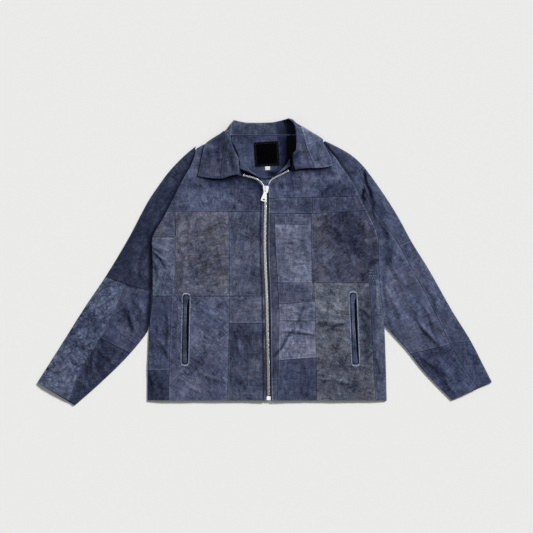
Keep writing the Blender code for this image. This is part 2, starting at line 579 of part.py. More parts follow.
def strip(name, rows, floor, wall, cloth, across=2):
    """A strip between two lines. Each row is (x, y) on the first line and (x, y) on the second."""
    rows = np.array(rows, float)
    share = np.linspace(0.0, 1.0, across + 1)[None, :]
    x = rows[:, 0:1] * (1 - share) + rows[:, 2:3] * share
    y = rows[:, 1:2] * (1 - share) + rows[:, 3:4] * share
    return plate(name, x, y, floor, wall, cloth)


LAPELS = {     # rows run from the collar to the slider: fold line x, y, then sewn line x, y
    "left": ((-61, 256, -62, 233), (-49, 241, -50, 227), (-34, 226.5, -35, 219.5), (-18, 215, -20, 212.6)),
    "right": ((63, 258, 64, 240), (52, 240, 55, 233.6), (37, 226, 39, 222.2), (25, 214.6, 26, 213)),
}
LAPEL_TAPES = {   # sewn line x, y, then the line of the teeth x, y
    "left": ((-62, 232.4, -52, 217), (-50, 226.4, -41, 214.5), (-35, 218.9, -31, 211.8),
             (-20.5, 212, -19, 208), (-10, 203, -10.5, 200.5)),
    "right": ((64, 239.4, 60, 229), (55, 232.9, 51, 225), (45, 225.7, 42, 220.4), (36, 219.3, 34, 216),
              (27, 213, 26, 211)),
}


def make_lapels():
    for side in ("left", "right"):
        strip("lapel_facing_" + side, LAPELS[side], level(LAPEL_FLOOR), WALL, "pale_indigo")
        strip("lapel_tape_" + side, LAPEL_TAPES[side], level(LAPEL_FLOOR), TAPE_WALL, "zip_tape")


# Slider, seen from above: it runs from its tail to its head
SLIDER_TAIL = 172.5
SLIDER_HEAD = 190.0
SLIDER_HALF_TAIL = 5.2
SLIDER_HALF_HEAD = 7.2
PLATE_WALL = 0.9
SLIDER_FLOOR = 2.4
SLIDER_TOP = 7.2
FLANGE = 1.4
FLANGE_LIPS = (TAPE_FLOOR - GAP, TAPE_FLOOR + TAPE_WALL + GAP)
PIVOT_Y = 181.0
PIVOT_Z = SLIDER_TOP + 1.35
BRIDGE_HALF = 3.6          # from the pivot to the inside of each leg of the bridge
BRIDGE_LEG = 1.2
BRIDGE_WIDTH = 2.4
BRIDGE_ROOF = SLIDER_TOP + 2.7
PULL_TILT = math.radians(12.0)
PULL_WALL = 1.6

TAPE_INNER = 1.6      # from the zip's middle to the cord that carries the teeth
TapeRow = namedtuple("TapeRow", "y inner outer", defaults=(TAPE_INNER, TAPE_WIDTH))
TAPE_ROWS = (         # the tapes part round the box at the hem, and round the slider
    TapeRow(-345.6, inner=5.4), TapeRow(-335.0, inner=5.4), TapeRow(-334.0), TapeRow(-240.0),
    TapeRow(-115.0), TapeRow(-60.0), TapeRow(0.0), TapeRow(35.0), TapeRow(80.0), TapeRow(130.0),
    TapeRow(180.0), TapeRow(190.6, inner=4.9, outer=19.0),
)


def make_zip_tapes():
    for side, name in ((-1, "zip_tape_left"), (1, "zip_tape_right")):
        rows = []
        for row in TAPE_ROWS:
            near = zip_middle(row.y) + side * row.inner
            far = zip_middle(row.y) + side * row.outer
            rows.append((min(near, far), row.y, max(near, far), row.y))
        strip(name, rows, level(TAPE_FLOOR), TAPE_WALL, "zip_tape", across=1)


def prism(outline, low, high):
    """A closed mesh object from an outline in the XY plane, from low to high, for joining."""
    mesh = bpy.data.meshes.new("prism")
    bm = bmesh.new()
    base = [bm.verts.new((x * MM, y * MM, low * MM)) for x, y in outline]
    bm.faces.new(base)
    lifted = bmesh.ops.extrude_face_region(bm, geom=list(bm.faces))
    top = [item for item in lifted["geom"] if isinstance(item, bmesh.types.BMVert)]
    bmesh.ops.translate(bm, verts=top, vec=(0, 0, (high - low) * MM))
    bmesh.ops.recalc_face_normals(bm, faces=bm.faces)
    bm.to_mesh(mesh)
    bm.free()
    blank = bpy.data.objects.new("prism", mesh)
    bpy.context.scene.collection.objects.link(blank)
    return blank


def union(name, blanks, cloth):
    """Joins overlapping prisms into one closed piece."""
    body = blanks[0]
    for blank in blanks[1:]:
        modifier = body.modifiers.new("join", "BOOLEAN")
        modifier.operation = "UNION"
        modifier.solver = "EXACT"
        modifier.object = blank
    graph = bpy.context.evaluated_depsgraph_get()
    mesh = bpy.data.meshes.new_from_object(body.evaluated_get(graph))
    mesh.name = name
    for blank in blanks:
        bpy.data.objects.remove(blank)
    return finish(name, mesh, cloth)


def turned(points, angle, about):
    """Outline points turned about a point in the XY plane."""
    cos, sin = math.cos(angle), math.sin(angle)
    return [(about[0] + x * cos - y * sin, about[1] + x * sin + y * cos) for x, y in points]


def slider_outline(inset=0.0):
    middle = zip_middle(PIVOT_Y)
    tail, head = SLIDER_HALF_TAIL - inset, SLIDER_HALF_HEAD - inset
    corner = 1.6
    half = ((tail - corner, SLIDER_TAIL + inset), (tail, SLIDER_TAIL + inset + corner),
            (head, SLIDER_HEAD - 5.0), (head, SLIDER_HEAD - inset - corner),
            (head - corner, SLIDER_HEAD - inset))
    right = [(middle + x, y) for x, y in half]
    left = [(middle - x, y) for x, y in reversed(half)]
    return right + left


def flange_outline(side):
    middle = zip_middle(PIVOT_Y)
    outer = ((SLIDER_HALF_TAIL, SLIDER_TAIL + 1.6), (SLIDER_HALF_HEAD, SLIDER_HEAD - 5.0),
             (SLIDER_HALF_HEAD, SLIDER_HEAD - 1.6))
    inner = ((SLIDER_HALF_HEAD - FLANGE, SLIDER_HEAD - 1.6), (SLIDER_HALF_HEAD - FLANGE, SLIDER_HEAD - 5.0),
             (SLIDER_HALF_TAIL - FLANGE, SLIDER_TAIL + 1.6))
    return [(middle + side * x, y) for x, y in outer + inner]


def make_slider():
    middle = zip_middle(PIVOT_Y)
    lower = SLIDER_FLOOR + PLATE_WALL
    upper = SLIDER_TOP - PLATE_WALL
    overlap = 0.2
    wedge = [(middle, 180.5), (middle + 3.0, SLIDER_HEAD - 2.0), (middle + 2.4, SLIDER_HEAD - 0.6),
             (middle - 2.4, SLIDER_HEAD - 0.6), (middle - 3.0, SLIDER_HEAD - 2.0)]
    blanks = [
        prism(slider_outline(), upper, SLIDER_TOP),
        prism(slider_outline(), SLIDER_FLOOR, lower),
        prism(wedge, lower - overlap, upper + overlap),
    ]
    for side in (-1, 1):
        blanks.append(prism(flange_outline(side), lower - overlap, FLANGE_LIPS[0]))
        blanks.append(prism(flange_outline(side), FLANGE_LIPS[1], upper + overlap))
    half = BRIDGE_WIDTH / 2
    for low, high in ((-BRIDGE_HALF - BRIDGE_LEG, -BRIDGE_HALF), (BRIDGE_HALF, BRIDGE_HALF + BRIDGE_LEG)):
        leg = [(middle - half, PIVOT_Y + low), (middle + half, PIVOT_Y + low),
               (middle + half, PIVOT_Y + high), (middle - half, PIVOT_Y + high)]
        blanks.append(prism(leg, SLIDER_TOP - overlap, BRIDGE_ROOF + overlap))
    reach = BRIDGE_HALF + BRIDGE_LEG
    roof = [(middle - half, PIVOT_Y - reach), (middle + half, PIVOT_Y - reach),
            (middle + half, PIVOT_Y + reach), (middle - half, PIVOT_Y + reach)]
    blanks.append(prism(roof, BRIDGE_ROOF, BRIDGE_ROOF + 1.2))
    union("zip_slider", blanks, METAL)


PULL_SHAPE = (      # half width at each distance from the pivot, towards the pull's free end
    (-0.8, 3.4), (0.4, 4.0), (8.0, 4.0), (11.0, 4.2), (14.5, 4.9), (18.5, 5.7), (22.5, 6.4), (27.0, 7.0),
    (28.8, 7.1), (29.7, 5.8), (30.3, 3.2),
)
PULL_WINDOW = ((0.8, 2.6), (6.6, 2.6))
PULL_HOLE_AT = 25.6
PULL_HOLE_HALF = (3.3, 1.9)      # across the pull and along it


def make_pull():
    """The pull tab: its crossbar passes under the slider's bridge, and it hangs towards the hem."""
    about = (zip_middle(PIVOT_Y), PIVOT_Y)
    right = [(half, -distance) for distance, half in PULL_SHAPE]
    left = [(-half, -distance) for distance, half in reversed(PULL_SHAPE)]
    low, high = PIVOT_Z - PULL_WALL / 2, PIVOT_Z + PULL_WALL / 2
    body = prism(turned(right + left, -PULL_TILT, about), low, high)
    (near, half), (far, _) = PULL_WINDOW
    window = [(-half, -near), (half, -near), (half, -far), (-half, -far)]
    angles = [k * math.pi / 6 for k in range(12)]
    across, along = PULL_HOLE_HALF
    ring = [(across * math.cos(a), along * math.sin(a) - PULL_HOLE_AT) for a in angles]
    cutters = [prism(turned(shape, -PULL_TILT, about), low - 1.0, high + 1.0) for shape in (window, ring)]
    for cutter in cutters:
        modifier = body.modifiers.new("cut", "BOOLEAN")
        modifier.operation = "DIFFERENCE"
        modifier.solver = "EXACT"
        modifier.object = cutter
    graph = bpy.context.evaluated_depsgraph_get()
    mesh = bpy.data.meshes.new_from_object(body.evaluated_get(graph))
    mesh.name = "zip_pull"
    for blank in (body, *cutters):
        bpy.data.objects.remove(blank)
    finish("zip_pull", mesh, METAL)


def make_zip_box():
    """The box at the hem that holds the zip's two sides together."""
    middle = zip_middle(HEM)
    outline = [(middle - 5.0, HEM + 0.6), (middle + 5.0, HEM + 0.6), (middle + 5.0, -337.0),
               (middle + 3.6, -335.4), (middle - 3.6, -335.4), (middle - 5.0, -337.0)]
    blank = prism(outline, TAPE_FLOOR - 1.3, TAPE_FLOOR + TAPE_WALL + 1.3)
    union("zip_box", [blank], METAL)


# --- pockets and label -------------------------------------------------------------------------
Pocket = namedtuple("Pocket", "name top_x top_y bottom_x bottom_y half_width")
POCKETS = (
    Pocket("pocket_left", -195.5, -77.5, -199.5, -261.0, 12.0),
    Pocket("pocket_right", 220.5, -73.0, 228.0, -262.0, 12.5),
)
POCKET_WALL = 1.2
SLOT = (3.6, 8.0)            # the mouth's slot, right of the pocket's middle


def make_pocket(pocket):
    """A welt pocket's mouth on the front: a rounded frame with a narrow slot beside its welt."""
    length = math.hypot(pocket.bottom_x - pocket.top_x, pocket.bottom_y - pocket.top_y)
    run = np.array((pocket.bottom_x - pocket.top_x, pocket.bottom_y - pocket.top_y)) / length
    aside = np.array((-run[1], run[0]))
    top = np.array((pocket.top_x, pocket.top_y))
    outer = rounded_loop(-pocket.half_width, pocket.half_width, 0.0, length, 7.0)
    inner = rounded_loop(SLOT[0], SLOT[1], 7.0, length - 7.0, 1.6)
    loops = np.array((outer, inner))
    grid = top + loops[..., :1] * aside + loops[..., 1:] * run
    x, y = grid[..., 0], grid[..., 1]
    floor = front_top(x, y) + GAP + 0.15
    under = np.stack([x, y, floor], axis=-1)
    over = np.stack([x, y, floor + POCKET_WALL], axis=-1)
    finish(pocket.name, ring_mesh(pocket.name, under, over), "indigo")


def rounded_loop(left, right, start, end, radius):
    """A rounded rectangle as 32 points (across, down), eight on each side with its corner."""
    loop = []
    corners = ((right, start, 1, 1), (right, end, 1, -1), (left, end, -1, -1), (left, start, -1, 1))
    middles = {0: (0.25, 0.5, 0.75), 2: (0.75, 0.5, 0.25)}
    for number, (x, y, side, way) in enumerate(corners):
        angles = [math.pi / 2 * k / 3 for k in range(4)]
        middle_x, middle_y = x - side * radius, y + way * radius
        sides, downs = side * radius * np.sin(angles), way * radius * np.cos(angles)
        arc = [(middle_x + aside, middle_y - down) for aside, down in zip(sides, downs)]
        if number in (1, 3):
            arc.reverse()
        loop += arc
        loop += [(x, start + (end - start) * share) for share in middles.get(number, ())]
    return loop


def ring_mesh(name, under, over):
    """A closed wall between an outer and an inner loop, given as two rows of points each."""
    count = under.shape[1]
    points = np.concatenate([under[0], under[1], over[0], over[1]]) * MM
    faces = []
    for a in range(count):
        b = (a + 1) % count
        outer_low, inner_low, outer_high, inner_high = 0, count, 2 * count, 3 * count
        faces.append([outer_low + a, outer_low + b, inner_low + b, inner_low + a])
        faces.append([outer_high + a, inner_high + a, inner_high + b, outer_high + b])
        faces.append([outer_low + a, outer_high + a, outer_high + b, outer_low + b])
        faces.append([inner_low + a, inner_low + b, inner_high + b, inner_high + a])
    mesh = bpy.data.meshes.new(name)
    mesh.from_pydata(points.tolist(), [], faces)
    bm = bmesh.new()
    bm.from_mesh(mesh)
    bmesh.ops.recalc_face_normals(bm, faces=bm.faces)
    bm.to_mesh(mesh)
    bm.free()
    return mesh


LABEL_MIDDLE = (5.5, 270.0)
LABEL_HALF = 30.5
LABEL_TILT = math.radians(3.5)
LABEL_FLOOR = FACING_FLOOR + THIN + GAP
LABEL_WALL = 0.6


def flat_rectangle(name, middle, half_width, half_height, floor, cloth):
    corners = ((-half_width, -half_height), (half_width, -half_height), (-half_width, half_height),
               (half_width, half_height))
    points = np.array(turned(corners, LABEL_TILT, middle)).reshape(2, 2, 2)
    plate(name, points[..., 0], points[..., 1], level(floor), LABEL_WALL, cloth)


def make_labels():
    flat_rectangle("neck_label", LABEL_MIDDLE, LABEL_HALF, LABEL_HALF, LABEL_FLOOR, "label_black")
    flat_rectangle("size_tag", (7.6, 234.0), 6.2, 4.6, LABEL_FLOOR, "label_white")


def main():
    for leftover in list(bpy.data.objects):
        bpy.data.objects.remove(leftover)
    make_back()
    make_neck_facing()
    make_fronts()
    make_left_sleeve()
    make_right_sleeve()
    make_collar_falls()
    make_collar_hidden_fall()
    make_collar_stands()
    make_collar_back_stand()
    make_lapels()
    make_zip_tapes()
    make_slider()
    make_pull()
    make_zip_box()
    for pocket in POCKETS:
        make_pocket(pocket)
    make_labels()


main()
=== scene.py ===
"""Looks of the patched jacket, laid flat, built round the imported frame.

The tables repeat the CAD's own lines in millimetres, and MM turns them into metres. Each cut piece
is a thin closed shell on its solid's form. X runs to the right, Y from the hem to the collar, and Z
up off the floor.
"""
import math
from collections import namedtuple

import bpy
import numpy as np
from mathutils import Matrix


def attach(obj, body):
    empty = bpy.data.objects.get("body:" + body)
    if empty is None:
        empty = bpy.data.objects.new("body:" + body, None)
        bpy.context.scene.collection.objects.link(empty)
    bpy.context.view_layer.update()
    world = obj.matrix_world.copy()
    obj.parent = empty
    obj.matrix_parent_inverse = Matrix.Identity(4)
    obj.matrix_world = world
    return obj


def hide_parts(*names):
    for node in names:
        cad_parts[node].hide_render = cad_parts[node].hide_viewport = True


MM = 0.001
JACKET = "jacket"

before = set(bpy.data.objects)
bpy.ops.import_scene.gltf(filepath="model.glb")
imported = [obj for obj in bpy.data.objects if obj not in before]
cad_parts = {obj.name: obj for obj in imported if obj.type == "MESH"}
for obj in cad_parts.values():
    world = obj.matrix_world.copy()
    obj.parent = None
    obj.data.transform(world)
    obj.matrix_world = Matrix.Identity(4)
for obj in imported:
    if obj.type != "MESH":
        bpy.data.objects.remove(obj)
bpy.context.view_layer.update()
rng = np.random.default_rng(7)


# --- edges and seams, as in the CAD, but smooth ------------------------------------------------
class Edge:
    """An edge or seam as a smooth curve: its place across the cloth for each place along it."""

    def __init__(self, along, across):
        order = np.argsort(along)
        self.along = np.array(along, float)[order]
        self.across = np.array(across, float)[order]
        gaps = np.diff(self.along)
        rates = np.diff(self.across) / gaps
        middle = (gaps[1:] * rates[:-1] + gaps[:-1] * rates[1:]) / (gaps[1:] + gaps[:-1])
        limit = 3.0 * np.minimum(np.abs(rates[:-1]), np.abs(rates[1:]))
        middle = np.where(rates[:-1] * rates[1:] > 0, np.clip(middle, -limit, limit), 0.0)
        self.slopes = np.concatenate([rates[:1], middle, rates[-1:]])

    def __call__(self, along):
        along = np.asarray(along, float)
        inside = np.clip(along, self.along[0], self.along[-1])
        k = np.clip(np.searchsorted(self.along, inside, side="right") - 1, 0, len(self.along) - 2)
        gap = self.along[k + 1] - self.along[k]
        t = (inside - self.along[k]) / gap
        value = self.across[k] * (1 + 2 * t) * (1 - t) ** 2 + self.across[k + 1] * t * t * (3 - 2 * t)
        value = value + gap * (self.slopes[k] * t * (1 - t) ** 2 - self.slopes[k + 1] * t * t * (1 - t))
        return value + (along - inside) * np.where(along < inside, self.slopes[0], self.slopes[-1])


def joined(*edges):
    along = np.concatenate([edge.along for edge in edges])
    return Edge(along, np.concatenate([edge.across for edge in edges]))


def zip_middle(y):
    """The zip leans a little, and bows to the left across the chest."""
    bow = np.cos(math.pi * np.clip((y - 35.0) / 300.0, -0.5, 0.5)) ** 2
    return 3.5 + (190.0 - y) * 0.0127 - 3.4 * bow


HEM = -346.0
ARMPIT = 54.0
SIDE_LEFT = Edge((54, -30, -75, -155, -250, -346), (-282, -280, -280, -287, -291, -292))
SIDE_RIGHT = Edge((54, -30, -75, -155, -250, -346), (284, 286, 290, 299, 303, 305.5))
ARMHOLE_LEFT = Edge((80, 105, 155, 205, 245, 262, 281), (-271, -256, -230, -205, -182.5, -176, -172))
ARMHOLE_RIGHT = Edge((80, 105, 155, 205, 245, 262, 281, 300),
                     (277.5, 266, 241, 215, 187.5, 176, 160, 147))
OUTLINE_LEFT = joined(SIDE_LEFT, ARMHOLE_LEFT)
OUTLINE_RIGHT = joined(SIDE_RIGHT, ARMHOLE_RIGHT)
ZIP_EDGE_Y = (-346, -240, -115, -60, 0, 35, 80, 130, 188)
ZIP_EDGE_LEFT = Edge(ZIP_EDGE_Y, [zip_middle(y) - 8.0 for y in ZIP_EDGE_Y])
ZIP_EDGE_RIGHT = Edge(ZIP_EDGE_Y, [zip_middle(y) + 8.0 for y in ZIP_EDGE_Y])
NECK_LEFT = joined(ZIP_EDGE_LEFT, Edge((192, 198, 205, 208.5, 211.5, 222, 262, 290, 317),
                                       (-8, -13.5, -22.5, -37, -52, -66, -67, -77, -86)))
NECK_RIGHT = joined(ZIP_EDGE_RIGHT, Edge((192, 197, 203, 209, 213, 219, 224, 232, 262, 290, 319),
                                         (12, 15.5, 19.5, 28, 36, 48, 59.5, 68, 70, 69, 68)))
ARM_SEAM_LEFT = Edge((127, -84), (-222, -223))
CHEST_SEAM_LEFT = Edge((127, -84, -200, -346), (-88, -86, -88, -92))
SIDE_SEAM_LEFT = Edge((-84, -220, -346), (-231, -235, -239))
ZIP_STRIP_RIGHT = Edge((123, 95, -51, -150, -346), (27, 27, 34, 38, 33))
ROW_SEAM_RIGHT = Edge((166, 120), (121, 121))
CHEST_SEAM_RIGHT = Edge((123, -51), (117.5, 120))
PANEL_SEAM_RIGHT = Edge((-51, -100, -200, -346), (124, 127, 129.5, 132))
SIDE_SEAM_RIGHT = Edge((-4, -20, -51, -95, -195, -295, -346), (281, 266, 262.5, 266, 271, 276, 279))
MUD_EDGE_RIGHT = joined(SIDE_SEAM_RIGHT, Edge((0, 54), (285, 284)), ARMHOLE_RIGHT)

ROLL_LEFT = Edge((218, 230, 245, 260, 280, 300, 317, 335, 352),
                 (-64, -63, -64, -66.5, -76, -82.5, -85, -84, -76))
COLLAR_SEAM_LEFT = Edge((208, 262, 287, 322, 330), (-109, -104, -101, -98, -97))
COLLAR_EDGE_LEFT = Edge((214.5, 242, 267, 290, 297, 305, 323.5, 330),
                        (-167, -161, -156, -150, -146, -136, -107, -99))
ROLL_RIGHT = Edge((230.5, 245, 260, 270, 280, 300, 330, 348, 358),
                  (76, 72, 69.5, 70.5, 78, 79, 77.5, 71, 60))
COLLAR_SEAM_RIGHT = Edge((234.5, 262, 287, 315, 337), (126, 116, 106, 99, 91))
COLLAR_EDGE_RIGHT = Edge((240.5, 262, 280, 300, 305, 312, 327, 340),
                         (171, 165, 156, 146.5, 147, 139, 114, 94))
ROLL_HEIGHT_LEFT = Edge((218, 240, 260, 300, 335, 352), (12.5, 16, 19, 21, 15, 9))
ROLL_HEIGHT_RIGHT = Edge((230, 245, 260, 300, 330, 358), (14, 18, 22, 25, 20, 9))


# --- heights of the layers ---------------------------------------------------------------------
WALL = 1.8
GAP = 0.3
LIFT = WALL + GAP
COLLAR_WALL = 2.4
FACING_FLOOR = 2 * LIFT
FACING_WALL = 1.0
TAPE_FLOOR = 4.4
TAPE_WALL = 0.8
PUFF, ZIP_PUFF, SLEEVE_PUFF = 2.3, 3.6, 2.6
CLOTH = 1.1           # thickness of one shell


def ramp(value, low, high):
    return np.clip((value - low) / (high - low), 0.0, 1.0)


def smooth(value, low, high):
    t = ramp(value, low, high)
    return t * t * (3 - 2 * t)


def rounded(share):
    return np.sin(np.clip(share, 0.0, 1.0) * math.pi / 2)


def peak(away, width):
    """1 at a place, falling away on both sides of it."""
    return np.exp(-(away / width) ** 2)


def stacked(*parts):
    """Points from their coordinates, numbers or arrays that broadcast together."""
    return np.stack(np.broadcast_arrays(*parts), axis=-1)


def shoulder_line(x):
    return np.where(x < 0, np.interp(x, (-172, -86), (281, 317)), np.interp(x, (68, 150), (319, 300)))


def front_floor(x, y):
    edge_height = PUFF * smooth(y, ARMPIT, 80.0)
    to_side = np.minimum(x - OUTLINE_LEFT(y), OUTLINE_RIGHT(y) - x)
    puff = edge_height + (PUFF - edge_height) * rounded(to_side / 40.0)
    at_shoulder = (1.0 - rounded((shoulder_line(x) - y) / 24.0)) * smooth(np.abs(x), 100.0, 125.0)
    by_zip = (ZIP_PUFF - PUFF) * smooth(np.abs(x - zip_middle(y)), 60.0, 24.0)
    return LIFT + puff * (1.0 - at_shoulder) + by_zip + LIFT * smooth(y, 180.0, 210.0)


# --- creases and small relief ------------------------------------------------------------------
def noise(x, y, size, seed):
    """Smooth noise from about -1 to 1, its bumps about size millimetres apart."""
    u, v = x / size + seed * 17.13, y / size - seed * 9.71
    i, j = np.floor(u), np.floor(v)
    fu, fv = u - i, v - j
    su, sv = fu * fu * (3 - 2 * fu), fv * fv * (3 - 2 * fv)

    def slope(ii, jj):
        spin = np.sin(ii * 127.1 + jj * 311.7 + seed * 74.7) * 43758.5453
        angle = (spin - np.floor(spin)) * 2 * math.pi
        return np.cos(angle) * (u - ii) + np.sin(angle) * (v - jj)

    near = slope(i, j) * (1 - su) + slope(i + 1, j) * su
    far = slope(i, j + 1) * (1 - su) + slope(i + 1, j + 1) * su
    return 1.6 * (near * (1 - sv) + far * sv)


Crease = namedtuple("Crease", "x1 y1 x2 y2 height width")
# A crease is a ridge where its height is above 0, and a trough where it is below.
CREASES = [Crease(*row) for row in (
    # left front: pulls that start at the armpit
    (-282, 32, -244, -4, 1.9, 4), (-277, 48, -236, 24, 1.2, 6), (-281, 16, -262, -32, 1.2, 5),
    (-276, 70, -220, 52, 1.0, 8), (-268, 92, -226, 80, -1.2, 7), (-280, 6, -262, -62, 1.6, 8),
    # left side fold
    (-248, -110, -238, -240, 2.2, 7), (-262, -190, -238, -252, 1.8, 7), (-284, -60, -272, -170, -1.5, 8),
    (-270, -230, -252, -330, 1.4, 9), (-288, -240, -280, -335, 1.2, 7), (-262, -90, -246, -130, -1.2, 8),
    # left chest and yoke
    (-191, 112, -181, 66, 1.6, 7), (-160, 104, -148, 20, -1.0, 11), (-118, 90, -112, -40, 1.1, 10),
    (-172, -66, -134, -10, 1.5, 7), (-196, 52, -140, 30, 1.0, 8), (-205, 200, -140, 178, 1.3, 11),
    (-160, 246, -118, 200, -1.1, 10), (-62, 196, -24, 150, 1.1, 8), (-110, 166, -54, 146, -1.0, 10),
    (-214, 160, -170, 132, 1.0, 9), (-70, 100, -56, -20, 0.9, 8), (-40, 64, -24, -70, -0.9, 8),
    (-210, 30, -196, -50, 1.2, 8), (-222, 110, -206, 74, 1.0, 7), (-96, 20, -60, -10, 0.8, 8),
    # left lower front
    (-172, -124, -96, -140, 1.3, 6), (-180, -150, -130, -196, -1.1, 9), (-215, -290, -160, -322, 1.4, 7),
    (-176, -262, -100, -300, 1.3, 7), (-120, -96, -104, -190, -0.9, 9), (-70, -176, -44, -250, 1.2, 8),
    (-30, -250, -52, -336, 1.3, 6), (-80, -286, -50, -326, -1.2, 6), (-150, -200, -110, -250, 0.9, 9),
    (-222, -100, -212, -240, 0.9, 6), (-60, -98, -24, -110, 0.7, 7), (-160, -310, -120, -336, 1.0, 7),
    # right chest and yoke
    (60, 238, 110, 206, 1.1, 9), (120, 230, 190, 204, -1.2, 10), (150, 262, 214, 184, 1.3, 9),
    (50, 190, 92, 176, -0.9, 8), (140, 110, 196, 60, 1.3, 9), (160, 60, 236, 20, -1.1, 9),
    (236, 110, 262, 24, 1.5, 9), (200, 34, 252, -30, 1.3, 8), (56, 84, 66, -30, 1.0, 8),
    (90, 62, 106, -40, -1.0, 8), (278, 48, 252, -6, -1.4, 6), (280, 66, 240, 44, 1.4, 7),
    (130, 20, 176, -30, 1.0, 8), (196, 150, 232, 100, 1.0, 8), (30, 212, 66, 176, 1.0, 7),
    # right waist: the crossed creases of the two pale patches
    (34, -173, 136, -183, 1.5, 5.5), (102, -112, 58, -186, -2.2, 4), (64, -172, 18, -240, -2.2, 4),
    (98, -190, 112, -232, 1.3, 5), (48, -118, 116, -134, 1.1, 6), (60, -206, 116, -212, 0.9, 5),
    (44, -262, 60, -336, 0.7, 7), (96, -256, 84, -330, -0.6, 7),
    # right pocket panel
    (130, -156, 212, -144, 1.6, 6), (140, -172, 200, -152, 1.2, 5), (134, -120, 176, -132, 1.2, 5),
    (246, -126, 262, -148, -1.6, 5), (236, -116, 266, -130, 1.3, 5), (244, -196, 266, -188, 1.2, 5),
    (134, -290, 180, -302, 1.5, 6), (176, -300, 262, -290, 1.4, 6), (150, -88, 196, -122, 1.2, 8),
    (150, -206, 176, -262, 1.1, 8), (236, -66, 250, -112, 1.1, 6), (244, -220, 266, -262, -1.2, 7),
    # right side
    (274, -44, 282, -160, 1.5, 6), (290, -120, 288, -240, -1.1, 6), (284, -220, 296, -320, 1.1, 7),
    # left sleeve
    (-200, 262, -250, 176, -2.0, 8), (-234, 214, -290, 96, 2.2, 11), (-222, 204, -264, 110, -1.6, 8),
    (-262, 176, -330, 36, -1.6, 10), (-292, 140, -352, 10, 1.6, 10), (-286, 90, -300, -20, 2.0, 9),
    (-296, 60, -316, -50, -1.8, 8), (-330, -20, -296, -50, 1.4, 8), (-344, -96, -332, -186, 3.0, 9),
    (-318, -90, -306, -170, 1.8, 9), (-372, -60, -396, -130, 1.4, 9), (-396, -100, -440, -160, -1.3, 9),
    (-420, -150, -404, -210, 1.3, 8), (-470, -190, -446, -240, -1.2, 9), (-500, -250, -470, -300, 1.4, 9),
    (-408, -206, -440, -286, 3.0, 9), (-440, -284, -442, -338, 2.4, 8), (-372, -232, -420, -300, 1.6, 9),
    (-540, -290, -500, -320, 1.0, 8), (-300, -20, -284, -60, 1.6, 7), (-460, -170, -430, -186, 1.0, 6),
    # right sleeve
    (286, 110, 322, 34, 2.6, 12), (320, 40, 350, -62, 3.0, 13), (262, 164, 290, 96, 2.0, 10),
    (236, 206, 268, 150, 1.6, 8), (300, 20, 318, -110, 1.8, 12), (352, -10, 384, -110, -1.6, 12),
    (310, -60, 340, -176, 1.8, 12), (340, -80, 392, -180, -1.4, 12), (300, -130, 352, -206, 1.5, 9),
    (384, -128, 434, -220, 3.6, 9), (410, -130, 452, -196, 1.4, 10), (420, -100, 462, -170, 1.0, 10),
    (392, -40, 436, -130, 1.2, 9), (350, 70, 396, -30, -1.2, 9), (262, 216, 326, 106, 1.4, 8),
    (404, -236, 446, -300, 2.0, 9), (440, -240, 474, -306, 1.8, 9), (500, -220, 536, -286, -1.2, 8),
    (452, -262, 470, -330, 1.4, 7), (384, -216, 416, -262, 1.3, 8),
)]
DEPTH = 1.3               # every crease is this much deeper than its row says

Fold = namedtuple("Fold", "x1 y1 x2 y2 bend width dark")
# A fold is a narrow trough, bent sideways in its middle, with painted shade along it; dark is how strong
# that painted shade is.
FOLDS = [Fold(*row) for row in (
    # waist
    (38, -176, 129, -186, 1.5, 2.0, 0.95), (71, -166, 22, -238, 3, 2.8, 1.2),
    (101, -94, 76, -164, 0, 7, 0.25), (92, -190, 84, -236, 0, 5, 0.12),
    # right pocket panel
    (132, -153, 204, -153, -7, 2.2, 1.0), (149, -173, 181, -158, -3, 2.2, 0.9),
    (136, -306, 204, -310, 11, 3.6, 0.5), (238, -132, 252, -150, 0, 5, 0.9),
    (253, -240, 277, -224, 0, 2.4, 0.8), (246, -196, 262, -188, 0, 2.4, 0.5),
    (176, -196, 168, -262, 3, 6, 0.25), (250, -80, 262, -120, 0, 6, 0.3),
    # left armpit and chest
    (-288, 41, -255, 18, 0, 1.8, 1.3), (-286, 38, -244, -20, 0, 2.1, 1.2),
    (-278, 6, -268, -40, 0, 2.0, 0.3), (-223, 108, -223, 62, 0, 1.0, 0.9),
    (-198, 120, -183, 88, -3, 4, 0.45), (-217, 68, -213, 20, 0, 4, 0.4),
    (-178, -62, -122, -12, 0, 2.8, 0.5), (-231, -96, -230, -250, 0, 4, 0.3),
    (-216, -108, -217, -250, 0, 2.0, 0.4), (-140, 60, -110, 46, 3, 2.6, 0.3),
    (-186, -14, -150, -28, 3, 2.4, 0.35), (-128, 98, -122, 60, 3, 3.0, 0.3),
    # right sleeve
    (246, 230, 268, 156, 0, 3.6, 2.6), (262, 172, 280, 116, 0, 5, 0.7), (245, 184, 249, 150, 0, 3.0, 3.2),
    (262, 178, 318, 44, -3, 9, 0.6), (206, 218, 230, 227, 0, 4, 0.8), (300, 84, 330, -24, -4, 12, 0.55),
    (396, -114, 437, -224, 4, 3.8, 0.8), (136, 168, 192, 202, 0, 6, 0.3), (374, -124, 396, -154, 0, 3, 0.5),
    (412, -236, 462, -334, 3, 8, 0.4), (470, -236, 486, -300, 2, 5, 0.25), (300, 30, 306, -60, 0, 8, 0.25),
    (236, 214, 250, 196, 0, 2.6, 0.6),
    # left sleeve
    (-347, -96, -319, -186, -7, 4.2, 0.7), (-452, -254, -438, -324, 3, 5, 0.7),
    (-426, -216, -380, -262, 2, 3.2, 0.5), (-436, -236, -404, -290, 3, 3.4, 0.4),
    (-300, -60, -296, -150, 2, 6, 0.3), (-250, 190, -296, 90, 3, 10, 0.25),
    (-235, 217, -213, 196, 0, 1.6, 0.9), (-203, 256, -190, 244, 0, 1.6, 0.8),
)]
FOLD_DEPTH = 0.9


